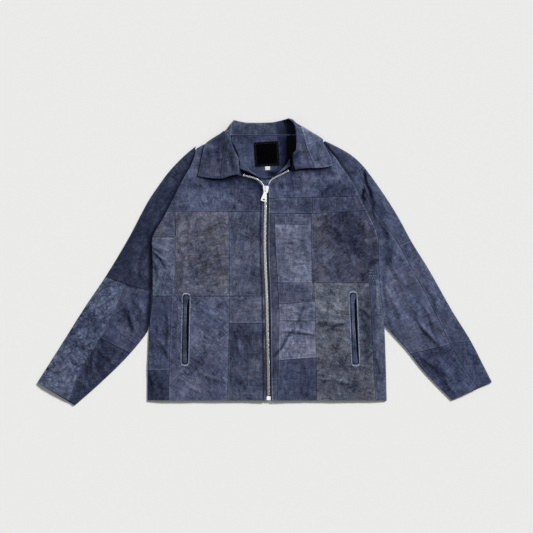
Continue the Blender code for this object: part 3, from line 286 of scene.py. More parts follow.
def beside_line(x, y, line):
    """How far along a line each point lies, as a share of it, how far to its left, and its length."""
    run = np.array((line.x2 - line.x1, line.y2 - line.y1), float)
    length = float(np.hypot(*run))
    run /= length
    dx, dy = x - line.x1, y - line.y1
    return (dx * run[0] + dy * run[1]) / length, -dx * run[1] + dy * run[0], length


def folded(x, y):
    """How deep in a fold each point lies, 0 outside them."""
    total = 0.0 * x
    for fold in FOLDS:
        along, aside, _ = beside_line(x, y, fold)
        along = np.clip(along, 0.0, 1.0)
        sway = 4 * along * (1 - along) * fold.bend + 0.5 * fold.width * np.sin(9 * along + fold.x1)
        taper = np.clip(6.0 * along * (1.0 - along), 0.0, 1.0) ** 0.7
        total += fold.dark * taper * peak(aside - sway, fold.width)
    return total


def one_crease(x, y, crease):
    along, aside, length = beside_line(x, y, crease)
    aside = aside + crease.width * 0.9 * np.sin(along * 4.1 + crease.x1) * ramp(length, 0, 80)
    taper = np.clip(4.0 * along * (1.0 - along), 0.0, 1.0) ** 0.6
    steep = np.where(aside < 0, 0.62, 1.1)
    return DEPTH * crease.height * taper * peak(aside, crease.width * steep)


def creased(x, y):
    total = 0.0 * x
    for crease in CREASES:
        reach = 3.0 * crease.width
        near = (x > min(crease.x1, crease.x2) - reach) & (x < max(crease.x1, crease.x2) + reach)
        near &= (y > min(crease.y1, crease.y2) - reach) & (y < max(crease.y1, crease.y2) + reach)
        total[near] += one_crease(x[near], y[near], crease)
    return total


def crinkled(x, y):
    """The washed cloth's small relief: veins that run like bark, over slow swells."""
    swell = 0.5 * noise(x, y, 62, 1) + 0.3 * noise(x, y, 31, 2)
    bent = x + 5 * noise(x, y, 40, 5), y + 5 * noise(x, y, 40, 6)
    veins = 0.35 * (0.4 - np.abs(noise(*bent, 30, 3))) + 0.42 * (0.4 - np.abs(noise(*bent, 13, 4)))
    return swell + veins + 0.2 * noise(*bent, 7, 7)


def worms(x, y):
    """Thin wandering crumple lines, 1 along each line."""
    bent = x + 6 * noise(x, y, 22, 42), y + 6 * noise(x, y, 22, 43)
    return peak(noise(*bent, 15, 41), 0.15)


def relief(x, y):
    return creased(x, y) + crinkled(x, y) - FOLD_DEPTH * folded(x, y)


def body_top(x, y):
    to_side = np.minimum(x - OUTLINE_LEFT(y), OUTLINE_RIGHT(y) - x)
    calm = (0.6 + 0.4 * smooth(to_side, 0, 9)) * (0.3 + 0.7 * smooth(np.abs(x - zip_middle(y)), 8, 26))
    under_pull = np.exp(-np.hypot(x + 2, y - 168) ** 4 / 24 ** 4)
    return front_floor(x, y) + WALL + calm * (1 - under_pull) * relief(x, y)


def body_low(x, y):
    """Where the front's folded edge comes down to: the floor at the sides, the sleeve at the armhole."""
    return 0.3 + (front_floor(x, y) - 0.3) * smooth(y, ARMPIT, 80.0)


# --- sleeves -----------------------------------------------------------------------------------
SLEEVE_RUN = (0.497, 0.868)
BESIDE_BODY = (-155, -115, -75, -30, 0, 24, 42)
ARMHOLE_Y = (54, 80, 105, 155, 205, 245, 262, 281)
APART = 0.7
TUCKED_LEFT = (-2.0, 1.5, 5, 6, 6, 5, -APART, -APART)
TUCKED_RIGHT = (0.9, 0.9, 5, 6, 6, 5, -APART, -APART)


class Sleeve:
    """A sleeve laid flat. Along runs from cuff to shoulder, across runs from left to right."""

    def __init__(self, side, outer, inner, lengthwise, tucked):
        self.side = side
        self.outer = self.edge(outer)
        self.under_inner = self.edge(inner)
        self.sole_inner = self.edge([(x - 0.6 * side, y) for x, y in inner])
        self.inner = self.edge([(x - side * np.interp(y, ARMHOLE_Y, tucked), y) for x, y in inner])
        self.lengthwise = self.edge(lengthwise)

    def along(self, point):
        return -self.side * point[0] * SLEEVE_RUN[0] + point[1] * SLEEVE_RUN[1]

    def across(self, point):
        return point[0] * SLEEVE_RUN[1] + self.side * point[1] * SLEEVE_RUN[0]

    def edge(self, points):
        return Edge([self.along(p) for p in points], [self.across(p) for p in points])

    def world(self, across, along):
        x = across * SLEEVE_RUN[1] - self.side * along * SLEEVE_RUN[0]
        y = self.side * across * SLEEVE_RUN[0] + along * SLEEVE_RUN[1]
        return x, y

    def top(self, across, along):
        width = self.under_inner(along) - self.outer(along)
        share = (across - self.outer(along)) / width
        puff = 1.0 - np.abs(2 * np.clip(1.06 * share, 0.0, 1.0) - 1.0) ** 3
        x, y = self.world(across, along)
        calm = smooth(np.minimum(share, 1 - share) * np.abs(width), -2, 16)
        tucked = 1.0 - smooth(y, ARMPIT, 80) * (1 - smooth((1 - share) * np.abs(width), 4, 14))
        return LIFT + WALL + SLEEVE_PUFF * puff + calm * tucked * relief(x, y)

    def low(self, across, along):
        _, y = self.world(across, along)
        by_body = (across - self.outer(along)) / (self.under_inner(along) - self.outer(along)) > 0.5
        return 0.3 + 1.9 * smooth(y, ARMPIT, 80) * by_body


def beside(outline, side, levels):
    return [(float(outline(y)) + side * APART, y) for y in levels]


LEFT_SLEEVE_OUTER = [(-567.5, -302), (-508, -208.5), (-444, -107), (-396, -36), (-340, 57), (-289.5, 152),
                     (-263, 192), (-237, 227), (-211, 255), (-191, 273.5), (-173, 288)]
LEFT_SLEEVE_INNER = [(-474, -358.5), (-411, -303), (-335, -227.5), (-311, -199), (-294, -176)]
LEFT_SLEEVE_INNER += beside(OUTLINE_LEFT, -1, BESIDE_BODY + ARMHOLE_Y)
LEFT_SLEEVE_SEAM = [(-343.5, -58), (-408, -190), (-451, -258), (-487.5, -346.5)]
RIGHT_SLEEVE_OUTER = [(568, -300), (544, -253), (514, -195), (464, -114), (414, -25), (366, 53),
                      (336, 108.5), (296, 172), (264, 217), (246, 240), (214, 268.5), (189, 283.5),
                      (152, 302)]
RIGHT_SLEEVE_INNER = [(469, -345), (439, -315), (401, -275), (351, -213), (321, -180)]
RIGHT_SLEEVE_INNER += beside(OUTLINE_RIGHT, 1, BESIDE_BODY + ARMHOLE_Y + (300,))
RIGHT_SLEEVE_SEAM = [(238, 228), (266, 147), (301, 95), (339, 40), (376, -28), (406, -83), (439, -150),
                     (465, -203), (496, -258), (534, -313)]
sleeve_left = Sleeve(-1, LEFT_SLEEVE_OUTER, LEFT_SLEEVE_INNER, LEFT_SLEEVE_SEAM, TUCKED_LEFT)
sleeve_right = Sleeve(1, RIGHT_SLEEVE_OUTER, RIGHT_SLEEVE_INNER, RIGHT_SLEEVE_SEAM, TUCKED_RIGHT)


# --- materials ---------------------------------------------------------------------------------
def linear(srgb):
    return [c / 12.92 if c <= 0.04045 else ((c + 0.055) / 1.055) ** 2.4 for c in (v / 255 for v in srgb)]


class Value:
    """A node's output. It adds, subtracts and multiplies into further nodes."""

    def __init__(self, nodes, socket):
        self.nodes, self.socket = nodes, socket

    def __add__(self, other):
        return self.nodes.math("ADD", self, other)

    def __sub__(self, other):
        return self.nodes.math("SUBTRACT", self, other)

    def __mul__(self, other):
        return self.nodes.math("MULTIPLY", self, other)


class Nodes:
    """Short calls for building one material's nodes."""

    def __init__(self, name):
        self.material = bpy.data.materials.new(name)
        self.material.use_nodes = True
        self.tree = self.material.node_tree

    def put(self, node, inputs):
        """Fill inputs by name, with _ for a space, or by number as i0, i1 and so on."""
        for key, value in inputs.items():
            number = key[1:]
            socket = node.inputs[int(number) if number.isdigit() else key.replace("_", " ")]
            if isinstance(value, Value):
                self.tree.links.new(value.socket, socket)
            else:
                socket.default_value = value

    def add(self, kind, settings=None, **inputs):
        node = self.tree.nodes.new("ShaderNode" + kind)
        for key, value in (settings or {}).items():
            setattr(node, key, value)
        self.put(node, inputs)
        return node

    def out(self, kind, output=0, settings=None, **inputs):
        return Value(self, self.add(kind, settings, **inputs).outputs[output])

    def finish(self, **inputs):
        """Fill the shader's inputs."""
        self.put(self.tree.nodes["Principled BSDF"], inputs)
        return self.material

    def math(self, operation, a, b=0.5):
        return self.out("Math", 0, {"operation": operation}, i0=a, i1=b)

    def vector(self, operation, a, **b):
        return self.out("VectorMath", 0, {"operation": operation}, i0=a, **b)

    def fit(self, value, low, high, to_low=0.0, to_high=1.0):
        return self.out("MapRange", 0, {"interpolation_type": "SMOOTHSTEP"}, i0=value, i1=low, i2=high,
                        i3=to_low, i4=to_high)

    def mix(self, share, a, b, blend="MIX"):
        return self.out("Mix", 2, {"data_type": "RGBA", "blend_type": blend}, i0=share, i6=a, i7=b)

    def attribute(self, name):
        return self.out("Attribute", "Fac", {"attribute_name": name})

    def noise(self, where, size, detail=2.0, rough=0.55):
        """A noise from 0 to 1 whose bumps are about size millimetres apart."""
        return self.out("TexNoise", "Fac", Vector=where, Scale=1000.0 / size, Detail=detail, Roughness=rough)


def four(rgb):
    return (*rgb, 1.0)


# srgb is the patch's mean colour, angle its grain's direction. Mottle, veins, mud and wear are how
# strong the clouding, the crumple lines, the brown stain and the pale seam edges are.
Look = namedtuple("Look", "srgb angle mottle veins mud wear", defaults=(0.0, 0.14))
TONE_POWERS = (1.12, 1.03, 0.85)      # shaded indigo turns bluer, and faded indigo greyer


def cloth_material(name, look):
    """Washed cotton dyed with indigo over mud: clouds, crumple lines, slubs and worn seam edges."""
    n = Nodes(name)
    base = np.array(linear(look.srgb))
    seed = sum(ord(c) * (k + 3) for k, c in enumerate(name)) % 97
    grain = n.out("Mapping", Vector=n.out("TexCoord", "Object"), Rotation=(0, 0, math.radians(look.angle)),
                  Location=(seed * 0.37, seed * 0.23, seed * 0.11))
    warp = n.out("TexNoise", "Color", Vector=grain, Scale=42.0, Detail=3.0)
    warp = n.vector("SCALE", n.vector("SUBTRACT", warp, i1=(0.5, 0.5, 0.5)), Scale=0.028)
    bent = n.vector("ADD", grain, i1=warp)
    lengthwise = n.out("Mapping", Vector=bent, Scale=(1.0, 0.34, 1.0))

    def lines(where, size, width):
        """Thin wandering lines, 1 along each line."""
        return n.fit(n.math("ABSOLUTE", n.noise(where, size) - 0.5), 0.0, width, 1.0, 0.0)

    clouds = n.noise(grain, 90, 3.0, 0.6)
    blots = n.noise(bent, 36, 3.0, 0.6)
    mottle = n.noise(bent, 17, 5.0, 0.68)
    streaks = n.noise(lengthwise, 7, 3.0, 0.62)
    speckle = n.noise(grain, 5.5, 3.0, 0.8)
    crumple = (lines(bent, 26, 0.05) + lines(lengthwise, 13, 0.06)) * n.fit(n.noise(grain, 46), 0.40, 0.62)
    cells = n.out("TexVoronoi", 0, {"feature": "DISTANCE_TO_EDGE"}, Vector=lengthwise, Scale=95.0)
    crackle = n.fit(cells, 0.0, 0.16, 1.0, 0.0) * n.fit(n.noise(grain, 30), 0.42, 0.66)
    crumple = crumple + crackle * 0.5
    warpwise = n.out("Mapping", Vector=grain, Scale=(1.0, 0.11, 1.0))
    weftwise = n.out("Mapping", Vector=grain, Scale=(0.11, 1.0, 1.0))
    slubs = n.noise(warpwise, 3.1, 3.0) + n.noise(weftwise, 3.4, 3.0)

    level = (speckle - 0.5) * 0.85 + crumple * (-0.17 * look.veins) + (slubs - 1.0) * 0.62
    for part, strength in ((mottle, 0.92), (clouds, 1.1), (blots, 0.65), (streaks, 0.95)):
        level = level + (part - 0.5) * (strength * look.mottle)
    level = level + (0.5 + 0.04 * look.veins)
    shades = n.add("ValToRGB", Fac=level)
    stops = shades.color_ramp.elements
    stops[0].position, stops[1].position = 0.0, 1.0
    stops[0].color = four(base * (0.30, 0.31, 0.37))
    stops[1].color = four(np.minimum(base * (2.1, 2.05, 1.85) + 0.01, 1.0))
    stops.new(0.5).color = four(base)
    colour = Value(n, shades.outputs["Color"])
    if look.mud:
        stain = n.fit(n.noise(bent, 52, 5.0, 0.72), 0.42, 0.66, 0.0, look.mud)
        brown = base.mean() * np.array((1.0, 0.97, 0.93))
        greys = n.mix(level, four((0.4,) * 3), four((1.5,) * 3))
        colour = n.mix(stain, colour, n.mix(1.0, four(brown), greys, "MULTIPLY"))
    tint = n.mix(n.fit(n.noise(grain, 75, 3.0), 0.3, 0.7), (0.97, 1.0, 1.03, 1.0), (1.04, 0.985, 0.98, 1.0))
    colour = n.mix(1.0, colour, tint, "MULTIPLY")
    # The tone layer scales the colour: stains, fading and wear, and also painted shade and painted light.
    tone = n.attribute("tone")
    red, green, blue = (n.math("POWER", tone, power) for power in TONE_POWERS)
    colour = n.vector("MULTIPLY", colour, i1=n.out("CombineXYZ", i0=red, i1=green, i2=blue))
    edge = n.attribute("edge")
    uneven, broken = n.noise(grain, 7, 3.0), n.noise(grain, 60)
    worn = n.fit(edge + (uneven - 0.5) * 2.4, 0.4, 2.4, look.wear, 0.0)
    colour = n.mix(worn, colour, four(np.minimum(base * 2.3 + 0.04, 1.0)))
    row = n.math("ABSOLUTE", edge - 4.6)
    colour = n.mix(n.fit(row, 0.3, 1.5, 0.5, 0.0) * broken, colour, four(base * 0.35))
    # Beside each seam's under side, and along the left fronts' zip edges, the cloth darkens: grime, and
    # painted shade from the edge above.
    grime_and_shade = n.fit(n.attribute("dip") + (uneven - 0.5) * 2.0, 1.2, 3.8, 1.0, 0.0)
    colour = n.mix(grime_and_shade * n.fit(broken, 0.36, 0.6, 0.05, 0.95), colour, four(base * 0.22))
    height = mottle * 0.9 + crumple * (-0.3 * look.veins) + streaks * 0.35 + slubs * 0.14 + speckle * 0.3
    return n.finish(Base_Color=colour, Roughness=n.fit(level, 0.2, 0.8, 0.84, 0.95), Specular_IOR_Level=0.06,
                    Normal=n.out("Bump", Strength=0.8, Distance=0.0012, Height=height))


# Where the metal gets painted shade: middle, half size and top, in millimetres.
Recess = namedtuple("Recess", "middle half top")
BESIDE_BRIDGE = Recess((1.7, 180.0), (1.15, 8.5), 8.0)
UNDER_PULL_HOLE = Recess((-0.8, 156.6), (3.6, 2.9), 30.0)


def plain_material(name, srgb, rough, spread, size, weight, bump=0.0003, metallic=0.0, toned=False,
                   recess=None):
    """An even material with fine grain: thread, tape, label or metal."""
    n = Nodes(name)
    base = np.array(linear(srgb))
    local = n.out("TexCoord", "Object")
    fine = n.noise(local, size, 3.0, 0.6)
    level = fine * 0.6 + n.noise(local, 9 * size) * 0.4
    colour = n.mix(level, four(base * (1 - spread)), four(np.minimum(base * (1 + spread), 1.0)))
    if toned:
        colour = n.vector("SCALE", colour, Scale=n.attribute("tone"))
    if recess:
        # painted shade: the metal in the recess turns near black
        middle, half, top = (np.array(value) * MM for value in recess)
        where = n.add("SeparateXYZ", Vector=n.out("NewGeometry", "Position"))
        x, y, z = (Value(n, where.outputs[k]) for k in range(3))
        away = n.math("POWER", n.math("ABSOLUTE", n.math("DIVIDE", x - middle[0], half[0])), 4.0)
        away = away + n.math("POWER", n.math("ABSOLUTE", n.math("DIVIDE", y - middle[1], half[1])), 8.0)
        grime_and_shade = n.fit(away, 0.5, 1.2, 0.93, 0.0) * n.fit(z, top - MM, top, 1.0, 0.0)
        colour = n.mix(grime_and_shade, colour, four(base * 0.06))
    roughness = n.fit(fine, 0.3, 0.7, max(rough - 0.08, 0.05), min(rough + 0.08, 1.0))
    return n.finish(Base_Color=colour, Roughness=roughness, Metallic=metallic, Specular_IOR_Level=weight,
                    Normal=n.out("Bump", Strength=0.6, Distance=bump, Height=fine))


# --- patches: shells of cloth ------------------------------------------------------------------
Tone = namedtuple("Tone", "x y across up amount")
# Broad lighter and darker places: wear, stains and fading, with some painted shade and painted light, marked
# below
TONES = [Tone(*row) for row in (
    (240, 60, 46, 60, -0.28), (150, 80, 40, 60, 0.12), (250, -150, 26, 70, -0.26), (168, -225, 40, 40, 0.1),
    (-265, 20, 22, 50, -0.3), (-403, -245, 28, 40, -0.28), (-240, -180, 30, 90, -0.1),
    (-120, 60, 70, 60, 0.08), (-230, 190, 40, 60, -0.12), (300, 40, 20, 90, 0.12),
    (340, -180, 40, 60, -0.1), (420, -180, 40, 40, -0.15), (560, -290, 30, 30, -0.1),
    (-480, -330, 30, 30, -0.1), (325, -60, 30, 50, 0.15), (258, -165, 17, 84, -0.96),
    # (-105, 206) and (110, 231) are painted shadows under the collar's lower edges.
    (190, -324, 70, 22, -0.2), (274, -22, 11, 20, -0.4), (-105, 206, 46, 5, -0.5), (110, 231, 44, 5, -0.5),
    # (40, 196) is a painted shadow on the right yoke under the collar, beside the zip's top.
    (40, 196, 10, 8, -0.5), (100, 156, 9, 8, -0.2), (134, 142, 12, 12, 0.15), (196, -14, 16, 14, -0.25),
    # (52, 159) and (60, 124) are painted light, lightening the shadows of the seams across the right chest.
    (204, 62, 18, 22, -0.15), (52, 159, 42, 3, 0.4), (60, 124, 52, 4, 0.35), (36, 140, 14, 12, -0.12),
    # (77, 262) is painted shade on the collar's right corner beside the roll.
    (100, 142, 10, 12, -0.15), (77, 262, 10, 14, -1.1), (66, 22, 22, 40, 0.12), (37, 20, 9, 90, -0.15),
    (380, -100, 40, 50, -0.1), (281, -74, 3, 34, 0.4), (287, -124, 3, 34, 0.45), (294, -176, 3, 34, 0.4),
)]
# Raised cloth fades with wear; the darkening in its hollows is painted shade.
WEAR_AND_SHADE = 0.2                # the cloth fades where it stands out by a millimetre, and darkens in its hollows
# The seams' darkening is grime and painted shade together.
FAINT = (0.7, 0.7, 0, 0)  # how much less grime the seams at each side hold: left, right, low, high
REACH = 5                 # in grid lines, how far round a point its height is compared
SHORT = 4.0               # how far the stitches stop short of a side's ends


def proud(z):
    """How far each point stands out from the cloth round it, by 1.3 mm at most."""
    around = np.pad(z, REACH, mode="edge")
    for axis in (0, 1):
        around = sum(np.roll(around, k, axis) for k in range(-REACH, REACH + 1)) / (2 * REACH + 1)
    return np.clip(z - around[REACH:-REACH, REACH:-REACH], -1.3, 1.3)


def tone_at(x, y):
    # painted shade along the folds
    total = -0.9 * folded(x, y)
    for t in TONES:
        total += t.amount * peak(x - t.x, t.across) * peak(y - t.y, t.up)
    return np.exp(total)


UNDER_COLLAR_LEFT = Edge((-170, -150, -105, -62, -50, -35, -20, -10, -4),
                         (224, 212, 205, 212, 213, 209, 203, 196, 188))
UNDER_COLLAR_RIGHT = Edge((8, 13, 17, 25, 34, 46, 60, 75, 110, 160, 178),
                          (186, 196, 201, 207, 212, 218, 226, 230, 231, 238, 241))


def front_shade(x, y):
    """Painted shadow under the collar, the zip's worn right fold, a painted highlight on the left zip edge
    with painted shade inside it, worn armholes.
    """
    left_gap = np.maximum(UNDER_COLLAR_LEFT(x) - y, 0.0)
    right_gap = np.maximum(UNDER_COLLAR_RIGHT(x) - y, 0.0)
    on_left = smooth(-x, 2, 8) * (1 - smooth(-x, 140, 166))
    on_right = smooth(x, 8, 14) * (1 - smooth(x, 150, 176)) * (0.35 + 0.65 * smooth(x, 48, 70))
    ragged = 1.0 + 0.5 * noise(x, 0.4 * y, 9, 51)
    deep = 8.0 + 8.0 * smooth(x, -70, -25)
    collar_shadow = 2.4 * on_left * np.exp(-left_gap / (deep * ragged))
    collar_shadow = collar_shadow + 1.5 * on_right * np.exp(-right_gap / (6.0 * ragged))
    from_right, from_left = x - ZIP_EDGE_RIGHT(y), ZIP_EDGE_LEFT(y) - x
    # The right fold's pale line is wear; the left edge's pale line is a painted highlight, and dark is
    # painted shade.
    pale = (1.4 * peak(from_right, 1.8) + 0.5 * peak(from_left - 0.4, 1.2)) * (1 - smooth(y, 176, 190))
    dark = 1.5 * peak(from_left - 4.4, 2.3) + 0.8 * smooth(y, 100, 180) * peak(from_left, 8.0)
    worn = 0.4 * peak(OUTLINE_RIGHT(y) - x, 2.2) + 0.2 * peak(x - OUTLINE_LEFT(y), 2.2)
    return np.exp(pale - dark - collar_shadow + worn * smooth(y, 40, 70))


BESIDE_Y = (-222, -196, 40, 66, 150, 250, 280)
BESIDE_DARK = (0.0, 2.6, 2.6, 1.5, 1.1, 0.9, 0.3)


def left_sleeve_shade(x, y):
    """Painted shade: the sleeve is dark along the body, in the gap between them."""
    away = np.maximum(OUTLINE_LEFT(y) - x - 1.0, 0.0)
    return np.exp(-np.interp(y, BESIDE_Y, BESIDE_DARK) * peak(away, 8.0))


# Painted shade on the right sleeve along the armhole.
def right_sleeve_shade(x, y):
    return np.exp(-0.4 * smooth(y, 20, 80) * peak(np.maximum(x - OUTLINE_RIGHT(y), 0.0), 6.0))


SLEEVE_SHADES = {-1: left_sleeve_shade, 1: right_sleeve_shade}


FAR = 99.0                # an edge or a dip that is nowhere near


def make_mesh(name, points, faces, sharp=None, **layers):
    """A smooth mesh from points in millimetres, its edges sharp from an angle in degrees on."""
    mesh = bpy.data.meshes.new(name)
    mesh.from_pydata((points * MM).tolist(), [], faces)
    for key, values in layers.items():
        layer = mesh.attributes.new(key, "FLOAT", "POINT")
        layer.data.foreach_set("value", values.astype(np.float32))
    mesh.polygons.foreach_set("use_smooth", np.ones(len(faces), dtype=bool))
    mesh.update()
    if sharp:
        mesh.set_sharp_from_angle(angle=math.radians(sharp))
    return mesh


def closed_mesh(name, outer, inner, lid, sides, sharp=None, edge=FAR, dip=FAR, tone=1.0):
    """A closed mesh of two grids of points, the lid's faces on each, and the sides' faces."""
    count = outer[..., 0].size
    faces = np.concatenate([lid, lid[:, ::-1] + count, *sides])
    points = np.concatenate([outer.reshape(-1, 3), inner.reshape(-1, 3)])
    layers = {key: np.tile(np.broadcast_to(value, outer.shape[:2]).ravel(), 2)
              for key, value in (("edge", edge), ("dip", dip), ("tone", tone))}
    return make_mesh(name, points, faces.tolist(), sharp, **layers)


def shell_mesh(name, outer, inner, **layers):
    """A closed mesh between two grids of points in millimetres, rows by columns by XYZ."""
    index = np.arange(outer[..., 0].size).reshape(outer.shape[:2])
    lid = stacked(index[:-1, :-1], index[:-1, 1:], index[1:, 1:], index[1:, :-1]).reshape(-1, 4)
    rim = np.array([*index[0, :-1], *index[:-1, -1], *index[-1, :0:-1], *index[:0:-1, 0]])
    after = np.roll(rim, -1)
    sides = [stacked(rim + index.size, after + index.size, after, rim)]
    return closed_mesh(name, outer, inner, lid, sides, 52, **layers)


def link(name, data):
    thing = bpy.data.objects.new(name, data)
    bpy.context.scene.collection.objects.link(thing)
    return thing


def place(mesh, material, slot, *replaces):
    piece = link(mesh.name, mesh)
    mesh.materials.append(material)
    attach(piece, JACKET)
    if replaces:
        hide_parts(*replaces)
    return piece


UNDER_LINES = ((-6, -0.03), (-3, -0.22), (-1.5, -0.55), (0, -0.9), (1.6, -1.05), (3.4, -1.1))
OVER_LINES = ((-6, 0.02), (-3, 0.12), (-1.5, 0.24), (-0.3, 0.25), (0.5, 0.1), (0.9, -0.3))


def side_profile(kind, radius, wall):
    """The extra lines at one side of a shell, from inside to outside: how far each lies beyond the
    edge and how far it is raised, for the outer and the inner surface."""
    if kind == "u":      # runs on under its neighbour
        return [(s, dz, s, dz) for s, dz in UNDER_LINES]
    if kind == "o":      # laps over its neighbour, with a rounded lip
        return [(s, dz, s, min(dz, 0.1)) for s, dz in OVER_LINES]
    finished = kind in "hz"     # both surfaces round off to meet at half thickness
    lines = []
    for angle in (90, 60, 35, 10) if finished else (90, 65, 40, 15, -10, -40, -70):
        out, up = math.cos(math.radians(angle)), math.sin(math.radians(angle)) - 1
        if finished:
            lines.append((wall / 2 * (out - 1), wall / 2 * up, wall / 2 * (out - 1), -wall / 2 * up))
        else:            # "f": folds over and round to the layer below
            hollow = np.maximum(radius - wall, 0.05)
            lines.append((radius * (out - 1), radius * up, -radius + hollow * out, hollow * up))
    return lines


def grid_area(grid):
    """Area in square metres of a grid of points in millimetres."""
    a, b, c, d = grid[:-1, :-1] * MM, grid[:-1, 1:] * MM, grid[1:, 1:] * MM, grid[1:, :-1] * MM
    return float(np.linalg.norm(np.cross(c - a, d - b), axis=-1).sum() / 2)


def cross_lines(start, end, count):
    """The lines of a shell from one side to the other. Each has the share of the way, then how far it
    lies beyond the edge and how far it is raised, for the outer and the inner surface."""
    lines = [(0.0, -s, dz, -si, dzi) for s, dz, si, dzi in reversed(start)]
    for k in range(1, count):
        w = k / count
        inside = (-start[0][0] * (1 - w) + end[0][0] * w, start[0][1] * (1 - w) + end[0][1] * w)
        lines.append((w, *inside, *inside))
    return lines + [(1.0, *line) for line in end]


class Patch:
    """A four-sided piece of cloth between two edges, made as a dense shell."""

    def __init__(self, left, right, low, high, sides, top, low_z=None, world=None, wall=CLOTH, spacing=2.4,
                 bow_low=0.0, bow_high=0.0, flat_bottom=None, round_rows=1.7, shade=None):
        self.left, self.right, self.sides = left, right, sides
        self.low, self.high = np.array(low, float), np.array(high, float)
        self.top, self.wall, self.world = top, wall, world or (lambda across, along: (across, along))
        self.low_z = low_z or (lambda across, along: self.top(across, along) - 2 * wall)
        self.spacing, self.bow_low, self.bow_high, self.flat_bottom = spacing, bow_low, bow_high, flat_bottom
        self.round_rows, self.shade = round_rows, shade or (lambda x, y: 1.0)

    def rows(self):
        """Per row: share from low to high, then offsets beyond the end and heights, outer and inner."""
        start, end = (side_profile(kind, self.round_rows, self.wall) for kind in self.sides[2:])
        length = float(np.mean(self.high - self.low)) + start[0][0] + end[0][0]
        return np.array(cross_lines(start, end, max(3, int(round(length / self.spacing)))))

    def edge_places(self, rows, shift):
        """Along and across at the left and right edges for each row."""
        share = rows[:, 0]
        along = [low * (1 - share) + high * share + shift for low, high in zip(self.low, self.high)]
        return *along, self.left(along[0]), self.right(along[1])

    def columns(self, rows):
        al, ar, left, right = self.edge_places(rows, rows[:, 1])
        radii = []
        for along, across in ((al, left), (ar, right)):
            depth = self.top(across, along) - self.low_z(across, along)
            radii.append(np.maximum(depth / 2, 0.55)[:, None])
        start, end = (side_profile(*side, self.wall) for side in zip(self.sides[:2], radii))
        lines = cross_lines(start, end, max(3, int(round(float(np.max(right - left)) / self.spacing))))
        shares = np.array([[line[0] for line in lines]])
        zero = 0 * radii[0]
        return shares, [np.concatenate([line[k] + zero for line in lines], axis=1) for k in (1, 2, 3, 4)]

    def grids(self):
        rows = self.rows()
        shares, (s_out, dz_out, s_in, dz_in) = self.columns(rows)
        made = []
        for shift, lift, s, dz in ((*rows[:, 1:3].T, s_out, dz_out), (*rows[:, 3:].T, s_in, dz_in)):
            al, ar, left, right = self.edge_places(rows, shift)
            across = left[:, None] * (1 - shares) + right[:, None] * shares + s
            along = al[:, None] * (1 - shares) + ar[:, None] * shares
            swell = 4 * shares * (1 - shares)
            v = rows[:, 0:1]
            along = along + swell * (self.bow_high * v ** 4 - self.bow_low * (1 - v) ** 4)
            z = self.top(across, along) + dz + lift[:, None]
            made.append((across, along, z))
        (across, along, z), (across_in, along_in, z_in) = made
        z_in = self.flat_bottom(across_in, along_in) if self.flat_bottom else z_in - self.wall
        x, y = self.world(across, along)
        x_in, y_in = self.world(across_in, along_in)
        outer = stacked(x, y, np.maximum(z, 0.05))
        inner = stacked(x_in, y_in, np.maximum(z_in, 0.02))
        ends = [end[0] * (1 - shares) + end[1] * shares for end in (self.low, self.high)]
        gaps = (across - self.left(along), across - self.right(along), along - ends[0], along - ends[1])
        edge = dip = 0 * z + FAR
        for gap, kind, faint in zip(gaps, self.sides, FAINT):
            if kind in "oh":
                edge = np.minimum(edge, np.abs(gap))
            # 'z' sides, the left fronts' zip edges, darken like a seam's under side: there it is painted
            # shade.
            if kind in "uz":
                dip = np.minimum(dip, np.abs(gap) + faint)
        # tone: stains and wear from TONES, painted shade from the folds and the piece's shade, and wear with
        # painted shade from how far the cloth stands out.
        tone = tone_at(x, y) * self.shade(x, y) * np.exp(WEAR_AND_SHADE * proud(z))
        return outer, inner, {"edge": edge, "dip": dip, "tone": tone}

    def cut(self):
        """Width and length in metres of the rectangle that the piece is cut from."""
        _, _, left, right = self.edge_places(np.linspace(0, 1, 9)[:, None], 0)
        return float(right.max() - left.min()) * MM, float(self.high.max() - self.low.min()) * MM

    def path(self, side, inset, lift):
        """Points along one side, inset from it, on the shell's surface."""
        u = np.linspace(0, 1, 160)
        if side in "lr":
            k = 0 if side == "l" else 1
            along = self.low[k] + SHORT + (self.high[k] - self.low[k] - 2 * SHORT) * u
            across = self.left(along) + inset if side == "l" else self.right(along) - inset
        else:
            ends = self.low + inset if side == "b" else self.high - inset
            left, right = self.left(ends[0]), self.right(ends[1])
            inward = SHORT / float(np.hypot(right - left, ends[1] - ends[0]))
            u = inward + (1 - 2 * inward) * u
            along = ends[0] * (1 - u) + ends[1] * u
            across = left * (1 - u) + right * u
        return stacked(*self.world(across, along), self.top(across, along) + lift)


patches = {}


def make_patch(name, patch, look, slot):
    outer, inner, layers = patch.grids()
    mesh = shell_mesh(name + "_cloth", outer, inner, **layers)
    piece = place(mesh, cloth_material(name, look), slot, name)
    patches[name] = patch
    width, length = patch.cut()
    min(grid_area(outer), width * length)


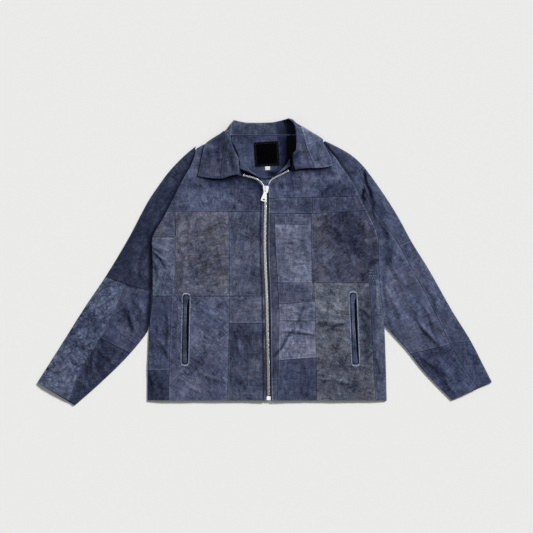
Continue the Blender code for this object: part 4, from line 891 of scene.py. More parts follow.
Panel = namedtuple("Panel", "name left right low high sides slot look")
FRONTS = [Panel(*row, Look(*look)) for *row, look in (
    ("front_left_yoke", ARMHOLE_LEFT, NECK_LEFT, (127, 127), (281, 317), "fzof", "indigo",
     ((73, 79, 103), 0, 1.0, 1.0)),
    ("front_left_armhole_patch", OUTLINE_LEFT, ARM_SEAM_LEFT, (63.5, 63.5), (127, 127), "fuou", "mud",
     ((70, 73, 92), 90, 1.0, 1.0, 0.2)),
    ("front_left_side_chest", OUTLINE_LEFT, ARM_SEAM_LEFT, (-84, -84), (63.5, 63.5), "fuou",
     "pale_indigo", ((80, 88, 110), 20, 1.0, 1.2)),
    ("front_left_chest_mud", ARM_SEAM_LEFT, CHEST_SEAM_LEFT, (-84, -84), (127, 127), "ouou", "mud",
     ((81, 85, 102), 75, 1.2, 1.2, 0.25)),
    ("front_left_chest_indigo", CHEST_SEAM_LEFT, ZIP_EDGE_LEFT, (-84, -84), (127, 127), "ozou", "indigo",
     ((71, 77, 98), 10, 1.1, 1.1, 0.1)),
    ("front_left_pocket_panel", SIDE_SEAM_LEFT, CHEST_SEAM_LEFT, (HEM, HEM), (-84, -84), "ouhu", "indigo",
     ((73, 79, 102), 130, 1.0, 1.2)),
    ("front_left_zip_upper", CHEST_SEAM_LEFT, ZIP_EDGE_LEFT, (-152, -152), (-84, -84), "ozou",
     "pale_indigo", ((83, 88, 109), 80, 1.0, 1.0, 0.1)),
    ("front_left_zip_lower", CHEST_SEAM_LEFT, ZIP_EDGE_LEFT, (HEM, HEM), (-152, -152), "ozhu",
     "deep_indigo", ((62, 68, 88), 0, 1.1, 1.0)),
    ("front_left_side_upper", SIDE_LEFT, SIDE_SEAM_LEFT, (-269, -269), (-84, -84), "fuou", "indigo",
     ((59, 65, 88), 0, 1.0, 0.8, 0.0, 0.75)),
    ("front_left_side_lower", SIDE_LEFT, SIDE_SEAM_LEFT, (HEM, HEM), (-269, -269), "fuhu", "deep_indigo",
     ((38, 44, 64), 40, 1.0, 0.8)),
    ("front_right_yoke", NECK_RIGHT, ARMHOLE_RIGHT, (160, 166), (315, 296), "hfof", "indigo",
     ((64, 70, 94), 0, 1.2, 1.0)),
    ("front_right_row_inner", ZIP_EDGE_RIGHT, ROW_SEAM_RIGHT, (123, 122), (160, 163.1), "huou",
     "deep_indigo", ((62, 68, 90), 90, 1.0, 1.0)),
    ("front_right_row_outer", ROW_SEAM_RIGHT, ARMHOLE_RIGHT, (122, 130), (163.1, 166), "ofou", "indigo",
     ((60, 66, 89), 15, 1.0, 1.0, 0.1)),
    ("front_right_narrow_strip", ZIP_STRIP_RIGHT, CHEST_SEAM_RIGHT, (95, 95), (122.8, 122), "ouou",
     "indigo", ((71, 75, 96), 0, 1.0, 0.9)),
    ("front_right_chest_pale", ZIP_STRIP_RIGHT, CHEST_SEAM_RIGHT, (-51, -51), (95, 95), "ouou",
     "pale_indigo", ((89, 95, 117), 100, 1.0, 1.0, 0.1, 0.2)),
    ("front_right_chest_mud", CHEST_SEAM_RIGHT, MUD_EDGE_RIGHT, (-51, -51), (122, 130), "ofou",
     "dark_mud", ((63, 67, 88), 50, 1.25, 1.2, 0.3)),
    ("front_right_zip_strip", ZIP_EDGE_RIGHT, ZIP_STRIP_RIGHT, (HEM, HEM), (123, 122.8), "huhu",
     "deep_indigo", ((62, 66, 86), 0, 1.0, 0.7, 0.0, 0.7)),
    ("front_right_waist_indigo", ZIP_STRIP_RIGHT, PANEL_SEAM_RIGHT, (-103, -98), (-51, -51), "ouou",
     "indigo", ((79, 84, 106), 0, 1.0, 1.0, 0.1)),
    ("front_right_waist_pale_upper", ZIP_STRIP_RIGHT, PANEL_SEAM_RIGHT, (-146, -146), (-103, -98), "ouou",
     "pale_indigo", ((87, 92, 113), 90, 1.0, 1.2)),
    ("front_right_waist_pale_lower", ZIP_STRIP_RIGHT, PANEL_SEAM_RIGHT, (-244, -238), (-146, -146),
     "ouou", "pale_indigo", ((94, 99, 121), 0, 0.9, 1.0, 0.0, 0.45)),
    ("front_right_hem_indigo", ZIP_STRIP_RIGHT, PANEL_SEAM_RIGHT, (HEM, HEM), (-244, -238), "ouhu",
     "deep_indigo", ((56, 62, 85), 0, 0.8, 1.0)),
    ("front_right_pocket_panel", PANEL_SEAM_RIGHT, SIDE_SEAM_RIGHT, (HEM, HEM), (-51, -51), "ouhu",
     "grey_mud", ((85, 90, 104), 110, 1.2, 1.4, 0.3)),
    ("front_right_side", SIDE_SEAM_RIGHT, SIDE_RIGHT, (HEM, HEM), (-4, -4), "ofhu", "pale_indigo",
     ((68, 75, 95), 0, 1.0, 0.8)),
)]


def mud_low(x, y):
    """The mud patch folds down only above the side patch; below, it is sewn to it."""
    return np.where(y < 4, front_floor(x, y) + WALL - 2.2, body_low(x, y))


def make_fronts():
    for p in FRONTS:
        low_z = mud_low if p.name == "front_right_chest_mud" else body_low
        bow = -3.0 if p.name.endswith("yoke") else 0.0
        patch = Patch(*p[1:6], body_top, low_z, bow_high=bow, shade=front_shade)
        make_patch(p.name, patch, p.look, p.slot)


UNDER_LOOK = Look((66, 72, 95), 0, 1.0, 1.0)


def sole(x, y):
    """The underside: it rests on the floor, with shallow creases that lift off it."""
    small = 0.35 * np.maximum(noise(x, y, 20, 9) - 0.2, 0)
    return 0.05 + 0.5 * np.maximum(noise(x, y, 48, 8), 0) ** 2 + small


def make_undersides():
    shoulder_left = joined(OUTLINE_LEFT, Edge((300, 315.8), (-136, -84)))
    shoulder_right = joined(OUTLINE_RIGHT, Edge((310, 315.8), (106, 64)))
    cloth = {"wall": 1.5, "spacing": 8.0}

    def back_top(x, y):
        return WALL - 0.15 + LIFT * ramp(y, 262.0, 281.0)

    def back_sole(x, y):
        return np.minimum(sole(x, y) + LIFT * ramp(y, 262.0, 281.0), back_top(x, y) - 0.9)

    back = Patch(shoulder_left, shoulder_right, (HEM, HEM), (316, 316), "hhhh", back_top,
                 flat_bottom=back_sole, **cloth)
    make_patch("back", back, UNDER_LOOK, "back_indigo")
    for name, sleeve, outer, inner in (
            ("sleeve_left_underside", sleeve_left, LEFT_SLEEVE_OUTER, LEFT_SLEEVE_INNER),
            ("sleeve_right_underside", sleeve_right, RIGHT_SLEEVE_OUTER, RIGHT_SLEEVE_INNER)):
        way = -sleeve.side       # a left sleeve's outer edge is its left one
        edges = [sleeve.outer, sleeve.sole_inner][::way]
        low, high = ([sleeve.along(edge[end]) for edge in (outer, inner)][::way] for end in (0, -1))

        def sleeve_sole(across, along, world=sleeve.world):
            return np.minimum(sole(*world(across, along)), 0.8)

        patch = Patch(*edges, low, high, "hhhh", lambda a, b: WALL - 0.15 + 0 * a, world=sleeve.world,
                      flat_bottom=sleeve_sole, shade=SLEEVE_SHADES[sleeve.side], **cloth)
        make_patch(name, patch, UNDER_LOOK, "back_indigo")


SleevePanel = namedtuple("SleevePanel", "name edges low high sides slot look")
left_cuff = (LEFT_SLEEVE_OUTER[0], LEFT_SLEEVE_SEAM[-1], LEFT_SLEEVE_INNER[0])
left_wrist = ((-408, -190), (-335, -227.5))
left_elbow = ((-396, -36), (-343.5, -58), (-281, -74))
SLEEVE_LEFT_PANELS = [SleevePanel(*row, Look(*look)) for *row, look in (
    ("sleeve_left_upper", ("outer", "inner"), (left_elbow[0], left_elbow[2]),
     (LEFT_SLEEVE_OUTER[-1], LEFT_SLEEVE_INNER[-1]), "ffof", "deep_indigo", ((43, 48, 68), 60, 0.9, 0.6)),
    ("sleeve_left_forearm_outer", ("outer", "lengthwise"), left_cuff[:2], left_elbow[:2], "fuhu",
     "pale_indigo", ((74, 82, 105), 60, 1.0, 2.0, 0.0, 0.5)),
    ("sleeve_left_forearm_inner", ("lengthwise", "inner"), left_wrist, left_elbow[1:], "ofou", "indigo",
     ((61, 67, 90), 30, 1.0, 1.0)),
    ("sleeve_left_cuff", ("lengthwise", "inner"), left_cuff[1:], left_wrist, "ofhu", "deep_indigo",
     ((48, 54, 75), 90, 1.1, 1.1)),
)]
right_shoulder = ((215.5, 205), (238, 228), (246, 240))
right_arm = ((339, 40), (366, 53))
right_wrist = ((364, -229), (465, -203), (515, -197))
right_cuff = (RIGHT_SLEEVE_INNER[0], RIGHT_SLEEVE_SEAM[-1], RIGHT_SLEEVE_OUTER[0])
SLEEVE_RIGHT_PANELS = [SleevePanel(*row, Look(*look)) for *row, look in (
    ("sleeve_right_shoulder", ("inner", "outer"), (right_shoulder[0], right_shoulder[2]),
     (RIGHT_SLEEVE_INNER[-1], RIGHT_SLEEVE_OUTER[-1]), "ffof", "indigo", ((63, 70, 93), 120, 0.8, 0.9)),
    ("sleeve_right_upper_outer", ("lengthwise", "outer"), right_arm, right_shoulder[1:], "ofuu", "indigo",
     ((64, 71, 94), 120, 0.7, 0.8)),
    ("sleeve_right_lower_outer", ("lengthwise", "outer"), right_wrist[1:], right_arm, "ofoo", "indigo",
     ((67, 74, 97), 30, 0.75, 0.7, 0.0, 0.3)),
    ("sleeve_right_inner", ("inner", "lengthwise"), right_wrist[:2], right_shoulder[:2], "fuou",
     "pale_indigo", ((76, 83, 107), 60, 0.75, 0.8)),
    ("sleeve_right_cuff_outer", ("lengthwise", "outer"), right_cuff[1:], right_wrist[1:], "ofhu",
     "indigo", ((62, 71, 95), 0, 0.8, 1.0)),
    ("sleeve_right_cuff_inner", ("inner", "lengthwise"), right_cuff[:2], right_wrist[:2], "fuhu",
     "deep_indigo", ((61, 68, 93), 45, 1.0, 1.0)),
)]


def forearm_shade(x, y):
    return np.exp(0.1 - 0.6 * worms(x, y))


def make_sleeves():
    for sleeve, panels in ((sleeve_left, SLEEVE_LEFT_PANELS), (sleeve_right, SLEEVE_RIGHT_PANELS)):
        for p in panels:
            edges = [getattr(sleeve, key) for key in p.edges]
            low, high = ([sleeve.along(point) for point in end] for end in (p.low, p.high))
            shade = forearm_shade if p.name == "sleeve_left_forearm_outer" else SLEEVE_SHADES[sleeve.side]
            patch = Patch(*edges, low, high, p.sides, sleeve.top, sleeve.low, sleeve.world, shade=shade)
            under = "sleeve_left_underside" if sleeve.side < 0 else "sleeve_right_underside"
            make_patch(p.name, patch, p.look, p.slot)


# --- collar ------------------------------------------------------------------------------------
def collar_top(x, y, roll, roll_height, free_edge, shoulder_y, side):
    lying = front_floor(x, y) + WALL + 0.6
    from_roll = side * (x - roll(y))
    high = np.maximum(roll_height(y) - COLLAR_WALL - lying, 0.0)
    floor = lying + high * peak(from_roll, 20.0)
    folded = rounded(side * (free_edge(y) - x) / 8.0)
    at_shoulder = smooth(y, *shoulder_y)
    floor = floor + at_shoulder * (LIFT - floor) * (1.0 - folded)
    ripple = 0.5 * noise(x, y, 34, 11) + 0.3 * (0.4 - np.abs(noise(x, y, 15, 12)))
    return floor + COLLAR_WALL + 0.8 + ripple + collar_creases(x, y)


COLLAR_CREASES = [Crease(*row) for row in (
    (-138, 222, -128, 300, 1.1, 7), (-118, 216, -112, 300, -1.2, 5), (-92, 216, -90, 300, 1.3, 6),
    (-80, 222, -82, 262, -1.0, 5), (-152, 236, -140, 286, -0.8, 6), (96, 236, 92, 300, 1.0, 7),
    (136, 244, 124, 300, -0.9, 7), (154, 246, 140, 290, 0.8, 7), (110, 240, 100, 330, -0.8, 6),
)]


def collar_creases(x, y):
    return sum(one_crease(x, y, crease) for crease in COLLAR_CREASES)


def collar_top_left(x, y):
    return collar_top(x, y, ROLL_LEFT, ROLL_HEIGHT_LEFT, COLLAR_EDGE_LEFT, (290.0, 300.0), -1)


def collar_top_right(x, y):
    return collar_top(x, y, ROLL_RIGHT, ROLL_HEIGHT_RIGHT, COLLAR_EDGE_RIGHT, (300.0, 310.0), 1)


CollarPanel = namedtuple("CollarPanel", "name left right low high top sides bow_low bow_high slot look")
COLLAR = [CollarPanel(*row, Look(*look)) for *row, look in (
    ("collar_left_outer", COLLAR_EDGE_LEFT, COLLAR_SEAM_LEFT, (214.5, 208), (326, 327), collar_top_left,
     "huhh", 1.5, 0.0, "indigo", ((57, 62, 84), 80, 1.0, 0.9)),
    ("collar_left_inner", COLLAR_SEAM_LEFT, ROLL_LEFT, (208, 218), (330, 352), collar_top_left, "ofhh",
     -2.0, 2.0, "deep_indigo", ((56, 62, 83), 10, 1.0, 0.9)),
    ("collar_right_outer", COLLAR_SEAM_RIGHT, COLLAR_EDGE_RIGHT, (234.5, 240.5), (337, 340),
     collar_top_right, "ohhh", 1.5, 0.0, "pale_indigo", ((80, 88, 112), 70, 1.0, 0.9)),
    ("collar_right_inner", ROLL_RIGHT, COLLAR_SEAM_RIGHT, (270, 270), (358, 337), collar_top_right,
     "fuoh", 0.0, 6.0, "pale_indigo", ((59, 66, 87), 0, 1.0, 0.9)),
    ("collar_right_corner", ROLL_RIGHT, COLLAR_SEAM_RIGHT, (230.5, 234.5), (270, 270), collar_top_right,
     "fuhu", -1.0, 0.0, "indigo", ((60, 66, 90), 90, 1.0, 0.9)),
)]
COLLAR_SHELL = 1.9


def make_collar():
    for p in COLLAR:
        patch = Patch(p.left, p.right, p.low, p.high, p.sides, p.top, lambda x, y, p=p: p.top(x, y) - 3.8,
                      wall=COLLAR_SHELL, spacing=2.6, bow_low=p.bow_low, bow_high=p.bow_high)
        front = "front_left_yoke" if "left" in p.name else "front_right_yoke"
        make_patch(p.name, patch, p.look, p.slot)


def neck_shade(x, y):
    """Painted shadow inside the neck, where the right roll hangs over it, and under the right lapel by the
    zip.
    """
    under_zip = 3.6 * peak(x - 23, 12) * peak(y - 220, 6.5)
    beside_roll = 1.2 * smooth(x, 36.0, 50.0) * (1 - smooth(y, 300.0, 318.0))
    return np.exp(-0.9 * smooth(x, 26.0, 40.0) - beside_roll - 2.2 * smooth(x, 50.0, 60.0) - under_zip)


# Painted shade on the right lapel facing, low beside the zip.
def lapel_shade(x, y):
    return np.exp(-1.6 * peak(x - 28, 9) * peak(y - 219, 7))


def wall_shell(name, foot, head, wall, look, slot):
    """A standing wall of cloth from a foot line to a head line, both rows of XYZ, bulging a little."""
    shares = np.linspace(0.0, 1.0, 11)[None, :, None]
    inside = foot[:, None, :] * (1 - shares) + head[:, None, :] * shares
    inside[..., 2] -= 1.1 * np.sin(shares[..., 0] * math.pi)
    inside[..., 2] += 0.4 * noise(inside[..., 0] * 2 + inside[..., 2], inside[..., 1], 16, 14)
    normal = np.cross(np.gradient(inside, axis=0), np.gradient(inside, axis=1))
    normal /= np.linalg.norm(normal, axis=-1, keepdims=True)
    if normal[..., 2].mean() < 0:
        normal = -normal
    outer, inner = inside, inside - normal * wall
    if name.endswith("right"):
        outer, inner = outer[:, ::-1], inner[:, ::-1]
    mesh = shell_mesh(name + "_cloth", outer, inner, tone=neck_shade(outer[..., 0], outer[..., 1]))
    piece = place(mesh, cloth_material(name, look), slot, name)


def make_collar_stands():
    foot_z = FACING_FLOOR + FACING_WALL + WALL + GAP
    levels = np.linspace(262, 315, 20)
    foot_left = Edge((262, 268, 280, 292, 300, 316), (-64, -65.5, -69.5, -75.5, -81.5, -84.5))
    foot_right = Edge((262, 280, 300, 316), (61, 60, 59, 60))
    for name, foot, roll, height, tuck in (
            ("collar_stand_left", foot_left, ROLL_LEFT, ROLL_HEIGHT_LEFT, 1.0),
            ("collar_stand_right", foot_right, ROLL_RIGHT, ROLL_HEIGHT_RIGHT, -1.0)):
        foot_line = stacked(foot(levels), levels, foot_z)
        head_line = stacked(roll(levels) + tuck, levels, height(levels) - COLLAR_WALL)
        # The stands' near-black colour is painted shade, on top of neck_shade's painted shadow.
        wall_shell(name, foot_line, head_line, 1.3, Look((11, 13, 20), 0, 0.8, 0.7), "deep_indigo")


def make_collar_back():
    left = Edge((317, 335, 352, 355), (-86.6, -85.6, -79.0, -76.4))
    right = Edge((317, 330, 348, 357, 360), (79.5, 78.6, 73.2, 63.5, 59.5))

    def top(x, y):
        flat = 4.5 - 1.2 * ramp(y, 316.0, 350.0)
        low_left = np.maximum(ROLL_HEIGHT_LEFT(y) - COLLAR_WALL - 1.0 - flat, 0.0)
        low_right = np.maximum(ROLL_HEIGHT_RIGHT(y) - COLLAR_WALL - 1.0 - flat, 0.0)
        curl = low_left * ramp(x, left(y) + 14.0, left(y)) ** 2
        curl = curl + low_right * ramp(x, right(y) - 26.0, right(y)) ** 2
        swell = 1.1 * np.sin(ramp(y, 316, 352) * math.pi) + 0.5 * noise(x, y, 30, 15)
        under_rolls = np.where(x < 0, ROLL_HEIGHT_LEFT(y), ROLL_HEIGHT_RIGHT(y)) - 1.7
        by_roll = np.minimum(x - left(y), right(y) - x) < 5.0
        raised = flat + curl + WALL + swell
        return np.where(by_roll, np.minimum(raised, under_rolls), raised)

    # The back stand takes the neck's painted shadow, reaching further left towards its top.
    def shade(x, y):
        return neck_shade(x + 0.43 * np.maximum(y - 334, 0), y)

    patch = Patch(left, right, (316.3, 316.3), (354.5, 359), "hhhf", top, lambda x, y: 0.3 + 0 * x,
                  spacing=2.6, bow_high=-10.5, wall=1.4, round_rows=2.4, shade=shade)
    look = Look((61, 68, 88), 0, 1.0, 0.8, 0.0, 0.8)
    make_patch("collar_stand_back", patch, look, "indigo")
    fall_left = Edge((288, 297, 305, 323, 341, 350), (-149, -144, -134, -105, -84, -73))
    fall_right = Edge((288, 300, 312, 327, 343, 354), (150, 146, 138, 112, 87, 70))
    fall = Patch(fall_left, fall_right, (288, 288), (350, 354), "hhhh", lambda x, y: WALL + 0 * x, wall=1.6,
                 spacing=5.0, bow_high=-4.0, flat_bottom=sole)
    make_patch("collar_behind_neck", fall, UNDER_LOOK, "back_indigo")


def make_neck_facing():
    left = Edge((215, 262, 316), (-62, -84, -84))
    right = Edge((215, 262, 316), (66, 80, 66))

    def top(x, y):
        return FACING_FLOOR + FACING_WALL - 0.3 + 0.35 * noise(x, y, 40, 17) + 0.15 * noise(x, y, 17, 18)

    patch = Patch(left, right, (215, 215), (316, 316), "hhhh", top, wall=0.8, spacing=3.2, bow_low=6.0,
                  shade=neck_shade)
    make_patch("neck_facing", patch, Look((61, 68, 93), 0, 0.9, 0.6), "plain_lining")


# --- turned-out front edges, zip ---------------------------------------------------------------
LAPEL_FLOOR = FACING_FLOOR + FACING_WALL + 0.6
LAPELS = {
    "left": ((-61, 256, -62, 234), (-49, 241, -50, 229), (-34, 227.5, -35, 222), (-18, 217, -20, 214.6)),
    "right": ((63, 258, 64, 240), (52, 240, 55, 233.6), (37, 226, 39, 222.2), (25, 214.6, 26, 213)),
}
LAPEL_TAPES = {
    "left": ((-62, 234.4, -52, 215), (-50, 229.4, -41, 212.5), (-35, 222.4, -31, 210),
             (-20.5, 215, -19, 206), (-10, 206, -10.5, 198.5)),
    "right": ((64, 239.4, 60, 229), (55, 232.9, 51, 225), (45, 225.7, 42, 220.4), (36, 219.3, 34, 216),
              (27, 213, 26, 211)),
}
TapeRow = namedtuple("TapeRow", "y inner outer")
TAPE_ROWS = [TapeRow(*row) for row in (
    (-345.6, 5.4, 20.0), (-335.0, 5.4, 20.0), (-334.0, 1.6, 20.0), (-240.0, 1.6, 20.0), (-115.0, 1.6, 20.0),
    (-60.0, 1.6, 20.0), (0.0, 1.6, 20.0), (35.0, 1.6, 20.0), (80.0, 1.6, 20.0), (130.0, 1.6, 20.0),
    (180.0, 1.6, 20.0), (190.6, 4.9, 19.0),
)]


NARROWEST = 0.0101        # in metres, the smallest width and length of a strip's flat size


def smoothed(rows, count):
    """A smooth curve through rows of numbers, at so many even steps from the first to the last."""
    stations = np.arange(len(rows))
    fine = np.linspace(0, len(rows) - 1, count)
    return stacked(*(Edge(stations, line)(fine) for line in np.array(rows, float).T))


def strip(name, rows, floor, wall, material, smooth_rows=True, uneven=0.0, across=8, rise=0.0, shade=None,
          slot="zip_tape"):
    """A strip between two lines, each row being x, y on the first line and x, y on the second."""
    rows = np.array(rows, float)
    length = float(np.hypot(*np.diff(rows[:, :2], axis=0).T).sum())
    if smooth_rows:
        rows = smoothed(rows, max(8, int(length / 2.5)))
    share = np.linspace(0.0, 1.0, across + 1)[None, :]
    x = rows[:, 0:1] * (1 - share) + rows[:, 2:3] * share
    y = rows[:, 1:2] * (1 - share) + rows[:, 3:4] * share
    floor = floor + rise * share ** 2
    rounding = 0.35 * wall * (np.abs(2 * share - 1) ** 6)
    outer = stacked(x, y, floor + wall - rounding + uneven * noise(x, y, 14, 21))
    inner = stacked(x, y, floor)
    if np.cross(outer[1, 0] - outer[0, 0], outer[0, -1] - outer[0, 0])[2] > 0:
        outer, inner = outer[:, ::-1], inner[:, ::-1]
    tone = shade(outer[..., 0], outer[..., 1]) if shade else 1.0
    mesh = shell_mesh(name + "_cloth", outer, inner, edge=np.minimum(share, 1 - share) * 12, tone=tone)
    piece = place(mesh, material, slot, name)
    area = grid_area(outer)
    length = max(length * MM, NARROWEST)
    width = float(np.hypot(rows[:, 0] - rows[:, 2], rows[:, 1] - rows[:, 3]).max()) * MM
    width = max(min(width, area / length / 0.35), NARROWEST)


def make_lapels(tape):
    for side in ("left", "right"):
        name = "lapel_facing_" + side
        strip(name, LAPELS[side], LAPEL_FLOOR, WALL, cloth_material(name, Look((70, 77, 100), 40, 0.8, 0.6)),
              uneven=0.4, shade=lapel_shade, slot="pale_indigo")
        strip("lapel_tape_" + side, LAPEL_TAPES[side], LAPEL_FLOOR, TAPE_WALL, tape, rise=2.2)


def chain_middle(y):
    """The closed teeth lie a little left of the middle of the opening."""
    return zip_middle(y) - 1.2 * smooth(y, -270, -120)


def tape_shade(x, y):
    """Painted light and shade on the tapes: a painted lit band along each, weaker on the left and towards
    the hem, painted shade beside the teeth, and a painted shadow under the pull's hole.
    """
    lit = peak(np.abs(x - zip_middle(y)) - 7.2, 1.3) * (0.4 + 0.6 * smooth(y, -160, -20))
    lit = lit * np.where(x < zip_middle(y), 0.55, 1.0)
    return (0.2 + 0.8 * lit) * (1 - 0.9 * peak(np.hypot(x + 1.7, y - 156), 6.0))


def make_zip_tapes(*tapes):
    for side, name, tape in zip((-1, 1), ("zip_tape_left", "zip_tape_right"), tapes):
        rows = []
        for y, inner, outer in TAPE_ROWS:
            near, far = chain_middle(y) + side * inner, zip_middle(y) + side * outer
            rows.append((min(near, far), y, max(near, far), y))
        strip(name, rows, TAPE_FLOOR, TAPE_WALL, tape, smooth_rows=False, across=16, shade=tape_shade)


TOOTH_PITCH = 3.3
CHAIN = (-333.0, 174.0)   # where the closed teeth start and end
TOOTH_FOOT = 1.44         # how far each closed tooth's origin lies from the chain's middle
TOOTH_REACH = 0.9         # across the zip, a tooth is this much of its sections' length
TEETH_LEFT = ((-3.5, 191.5), (-7, 196.5), (-13, 202.5), (-21, 207.2), (-30, 210.6), (-42, 213.6),
              (-54, 216.8))
TEETH_RIGHT = ((10.5, 191.5), (12.5, 198), (17, 204.6), (24.5, 209.8), (34, 214.6), (46, 220.6), (60, 227.6))
# Each section of a tooth, from its foot to its head: how far out, half its width and half its height
TOOTH_SECTIONS = ((-1.9, 0.69, 0.95), (-1.5, 0.92, 1.15), (0.2, 0.92, 1.15), (1.1, 0.782, 1.1),
                  (1.8, 0.966, 1.0), (2.2, 0.736, 0.7))


def tooth(head):
    """One zip tooth: points and faces, its foot on the tape's edge and its head towards +X or -X."""
    points = []
    for x, w, h in TOOTH_SECTIONS:
        points += [(x, -w, -h * 0.7), (x, -w, h * 0.7), (x, -w * 0.6, h), (x, w * 0.6, h),
                   (x, w, h * 0.7), (x, w, -h * 0.7), (x, w * 0.6, -h), (x, -w * 0.6, -h)]
    last = len(points) - 8
    ring = [(j, (j + 1) % 8) for j in range(8)]
    faces = [(a + k, a + k + 8, b + k + 8, b + k) for k in range(0, last, 8) for a, b in ring]
    faces += [tuple(range(8)), tuple(reversed(range(last, last + 8)))]
    if head < 0:
        faces = [tuple(reversed(face)) for face in faces]
    return np.array(points) * (TOOTH_REACH * head, 1.0, 1.0), faces


def teeth_shade(x, y):
    """The teeth are duller towards the hem."""
    return 0.6 + 0.4 * smooth(y, -300, -50)


def repeated(name, items, material, slot, shade=None):
    """One mesh from many placed copies: each is points, faces, a 3x3 turn and a place."""
    faces, count = [], 0
    for own_points, own_faces, _, _ in items:
        faces += [tuple(v + count for v in face) for face in own_faces]
        count += len(own_points)
    points = np.concatenate([own @ turn.T + where for own, _, turn, where in items])
    layers = {"tone": shade(*points[:, :2].T)} if shade else {}
    place(make_mesh(name, points, faces, 40, **layers), material, slot)


def spaced(path, first, last, pitch, reach):
    """Places at even steps along a path, and the way it runs there."""
    run = np.concatenate([[0], np.linalg.norm(np.diff(path[:, :2], axis=0), axis=1).cumsum()])
    wanted = np.arange(first, run[-1] - last, pitch)
    here, ahead, back = (stacked(*(np.interp(wanted + step, run, line) for line in path.T))
                         for step in (0, reach, -reach))
    return zip(here, ahead - back)


def turn_to(x, y):
    """A turn about Z that takes +Y to the direction."""
    size = math.hypot(x, y)
    return np.array(((y, x, 0), (-x, y, 0), (0, 0, size))) / size


def make_teeth(metal):
    middle_z = TAPE_FLOOR + TAPE_WALL / 2 + 0.35
    for side, name, open_curve in ((-1, "zip_teeth_left", TEETH_LEFT), (1, "zip_teeth_right", TEETH_RIGHT)):
        points, faces = tooth(-side)
        items = []
        for y in np.arange(CHAIN[0] + TOOTH_PITCH / 2 * (side > 0), CHAIN[1], TOOTH_PITCH):
            items.append((points, faces, np.eye(3), (chain_middle(y) + side * TOOTH_FOOT, y, middle_z)))
        places = list(spaced(smoothed(open_curve, 400), 0.6, 0.0, TOOTH_PITCH, 0.5))
        for k, (where, way) in enumerate(places):
            lift = middle_z + 3.9 * smooth(k * TOOTH_PITCH, 0, 26)
            stop = 1.35 if k == len(places) - 1 else 1.0
            items.append((points * stop, faces, turn_to(*way), (*where, lift)))
        repeated(name, items, metal, "zip_metal", teeth_shade)


# --- stitching ---------------------------------------------------------------------------------
STITCH_FACES = ((0, 1, 4), (1, 2, 4), (2, 3, 4), (3, 0, 4), (1, 0, 5), (2, 1, 5), (3, 2, 5), (0, 3, 5))


def stitch_items(path, pitch=3.6, length=2.6, width=0.55, height=0.4, across=False, jitter=0.12):
    """Stitches along a path of XYZ points: each a small spindle of thread."""
    items = []
    for spot, (dx, dy, _) in spaced(path, pitch * 0.5, pitch * 0.4, pitch, 1.0):
        x, y = (-dy, dx) if across else (dx, dy)
        turn = turn_to(x + jitter * rng.normal() * 0.6, y + jitter * rng.normal() * 0.6)
        half, side = length * (1 + jitter * rng.normal()) / 2, width / 2
        points = np.array(((0, -half, -0.12), (side, 0, 0), (0, half, -0.12), (-side, 0, 0), (0, 0, height),
                           (0, 0, -0.25)))
        items.append((points, STITCH_FACES, turn, spot))
    return items


def make_stitching(thread):
    """Topstitching: two rows inside each lapped seam, and one or two along each finished edge."""
    groups = {}
    for name, patch in patches.items():
        if "underside" in name or name in ("back", "collar_behind_neck", "collar_stand_back"):
            continue
        group = "_".join(name.split("_")[:2])
        for side, kind in zip("lrbt", patch.sides):
            if kind == "o":
                insets, lift = (1.9, 5.4), (0.3, 0.1)
            elif kind == "h" and name != "neck_facing":
                insets, lift = ((2.4, 7.6) if side in "b" or "front" in name else (2.4,)), (0.08, 0.08)
            else:
                continue
            for inset, raised in zip(insets, lift):
                groups.setdefault(group, []).extend(stitch_items(patch.path(side, inset, lift=raised)))
    for group, items in groups.items():
        repeated("topstitch_" + group, items, thread, "indigo")


# --- pockets -----------------------------------------------------------------------------------
# The ends of its middle line, how far the pale stitches lie from that, and its cloth
Pocket = namedtuple("Pocket", "name top bottom edging look slot")
POCKETS = (
    Pocket("pocket_left", (-195.5, -77.5), (-199.5, -261.0), 9.9, Look((58, 65, 84), 0, 0.8, 0.6, 0.0, 0.6),
           "indigo"),
    Pocket("pocket_right", (220.5, -73.0), (228.0, -262.0), 10.3, Look((70, 77, 100), 0, 0.8, 0.6, 0.0, 0.6),
           "grey_mud"),
)
WELT = 11.4               # half the width of the cloth framing the pocket
FRAME = (-7.0, 7.6)       # the frame's inner edges, left and right of its middle
ISLAND = (-6.2, 6.9)      # the welt inside it, at its ends; in the middle its right side draws back
MOUTH = 4.7               # how far it draws back, baring the dark opening
# Share of the way from the outline to the inner edge, and the height of the cloth there
FRAME_RISE = ((0.0, 0.1), (0.1, 0.5), (0.3, 0.9), (0.6, 1.0), (0.85, 0.8), (1.0, 0.15))


def rounded_loop(left, right, start, end, radius):
    """A rounded rectangle as points (across, down), going round from the top left."""
    turn = np.linspace(0.0, math.pi / 2, 7)
    loop = []
    for x, side, runs in ((right, 1, ((start, 1), (end, -1))), (left, -1, ((end, -1), (start, 1)))):
        arcs = [stacked(x - side * radius * (1 - np.sin(turn)), y + way * radius * (1 - np.cos(turn)))
                for y, way in runs]
        down = np.linspace(arcs[0][-1, 1], arcs[1][-1, 1], 41)[1:-1]
        loop += [arcs[0], stacked(x, down), arcs[1][::-1]]
    return np.concatenate(loop)


def closed_ring(name, grid, depth, edge):
    """A closed mesh from loops of points, outermost first, with a flat underside."""
    under = grid.copy()
    under[..., 2] = np.minimum(grid[0, :, 2], grid[-1, :, 2]) - depth
    index = np.arange(grid[..., 0].size).reshape(grid.shape[:2])
    after = np.roll(index, -1, axis=1)
    lid = stacked(index[:-1], index[1:], after[1:], after[:-1]).reshape(-1, 4)
    ends = ((index[0], after[0]), (after[-1], index[-1]))
    sides = [stacked(a, b, b + index.size, a + index.size) for a, b in ends]
    return closed_mesh(name, grid, under, lid, sides, edge=edge)


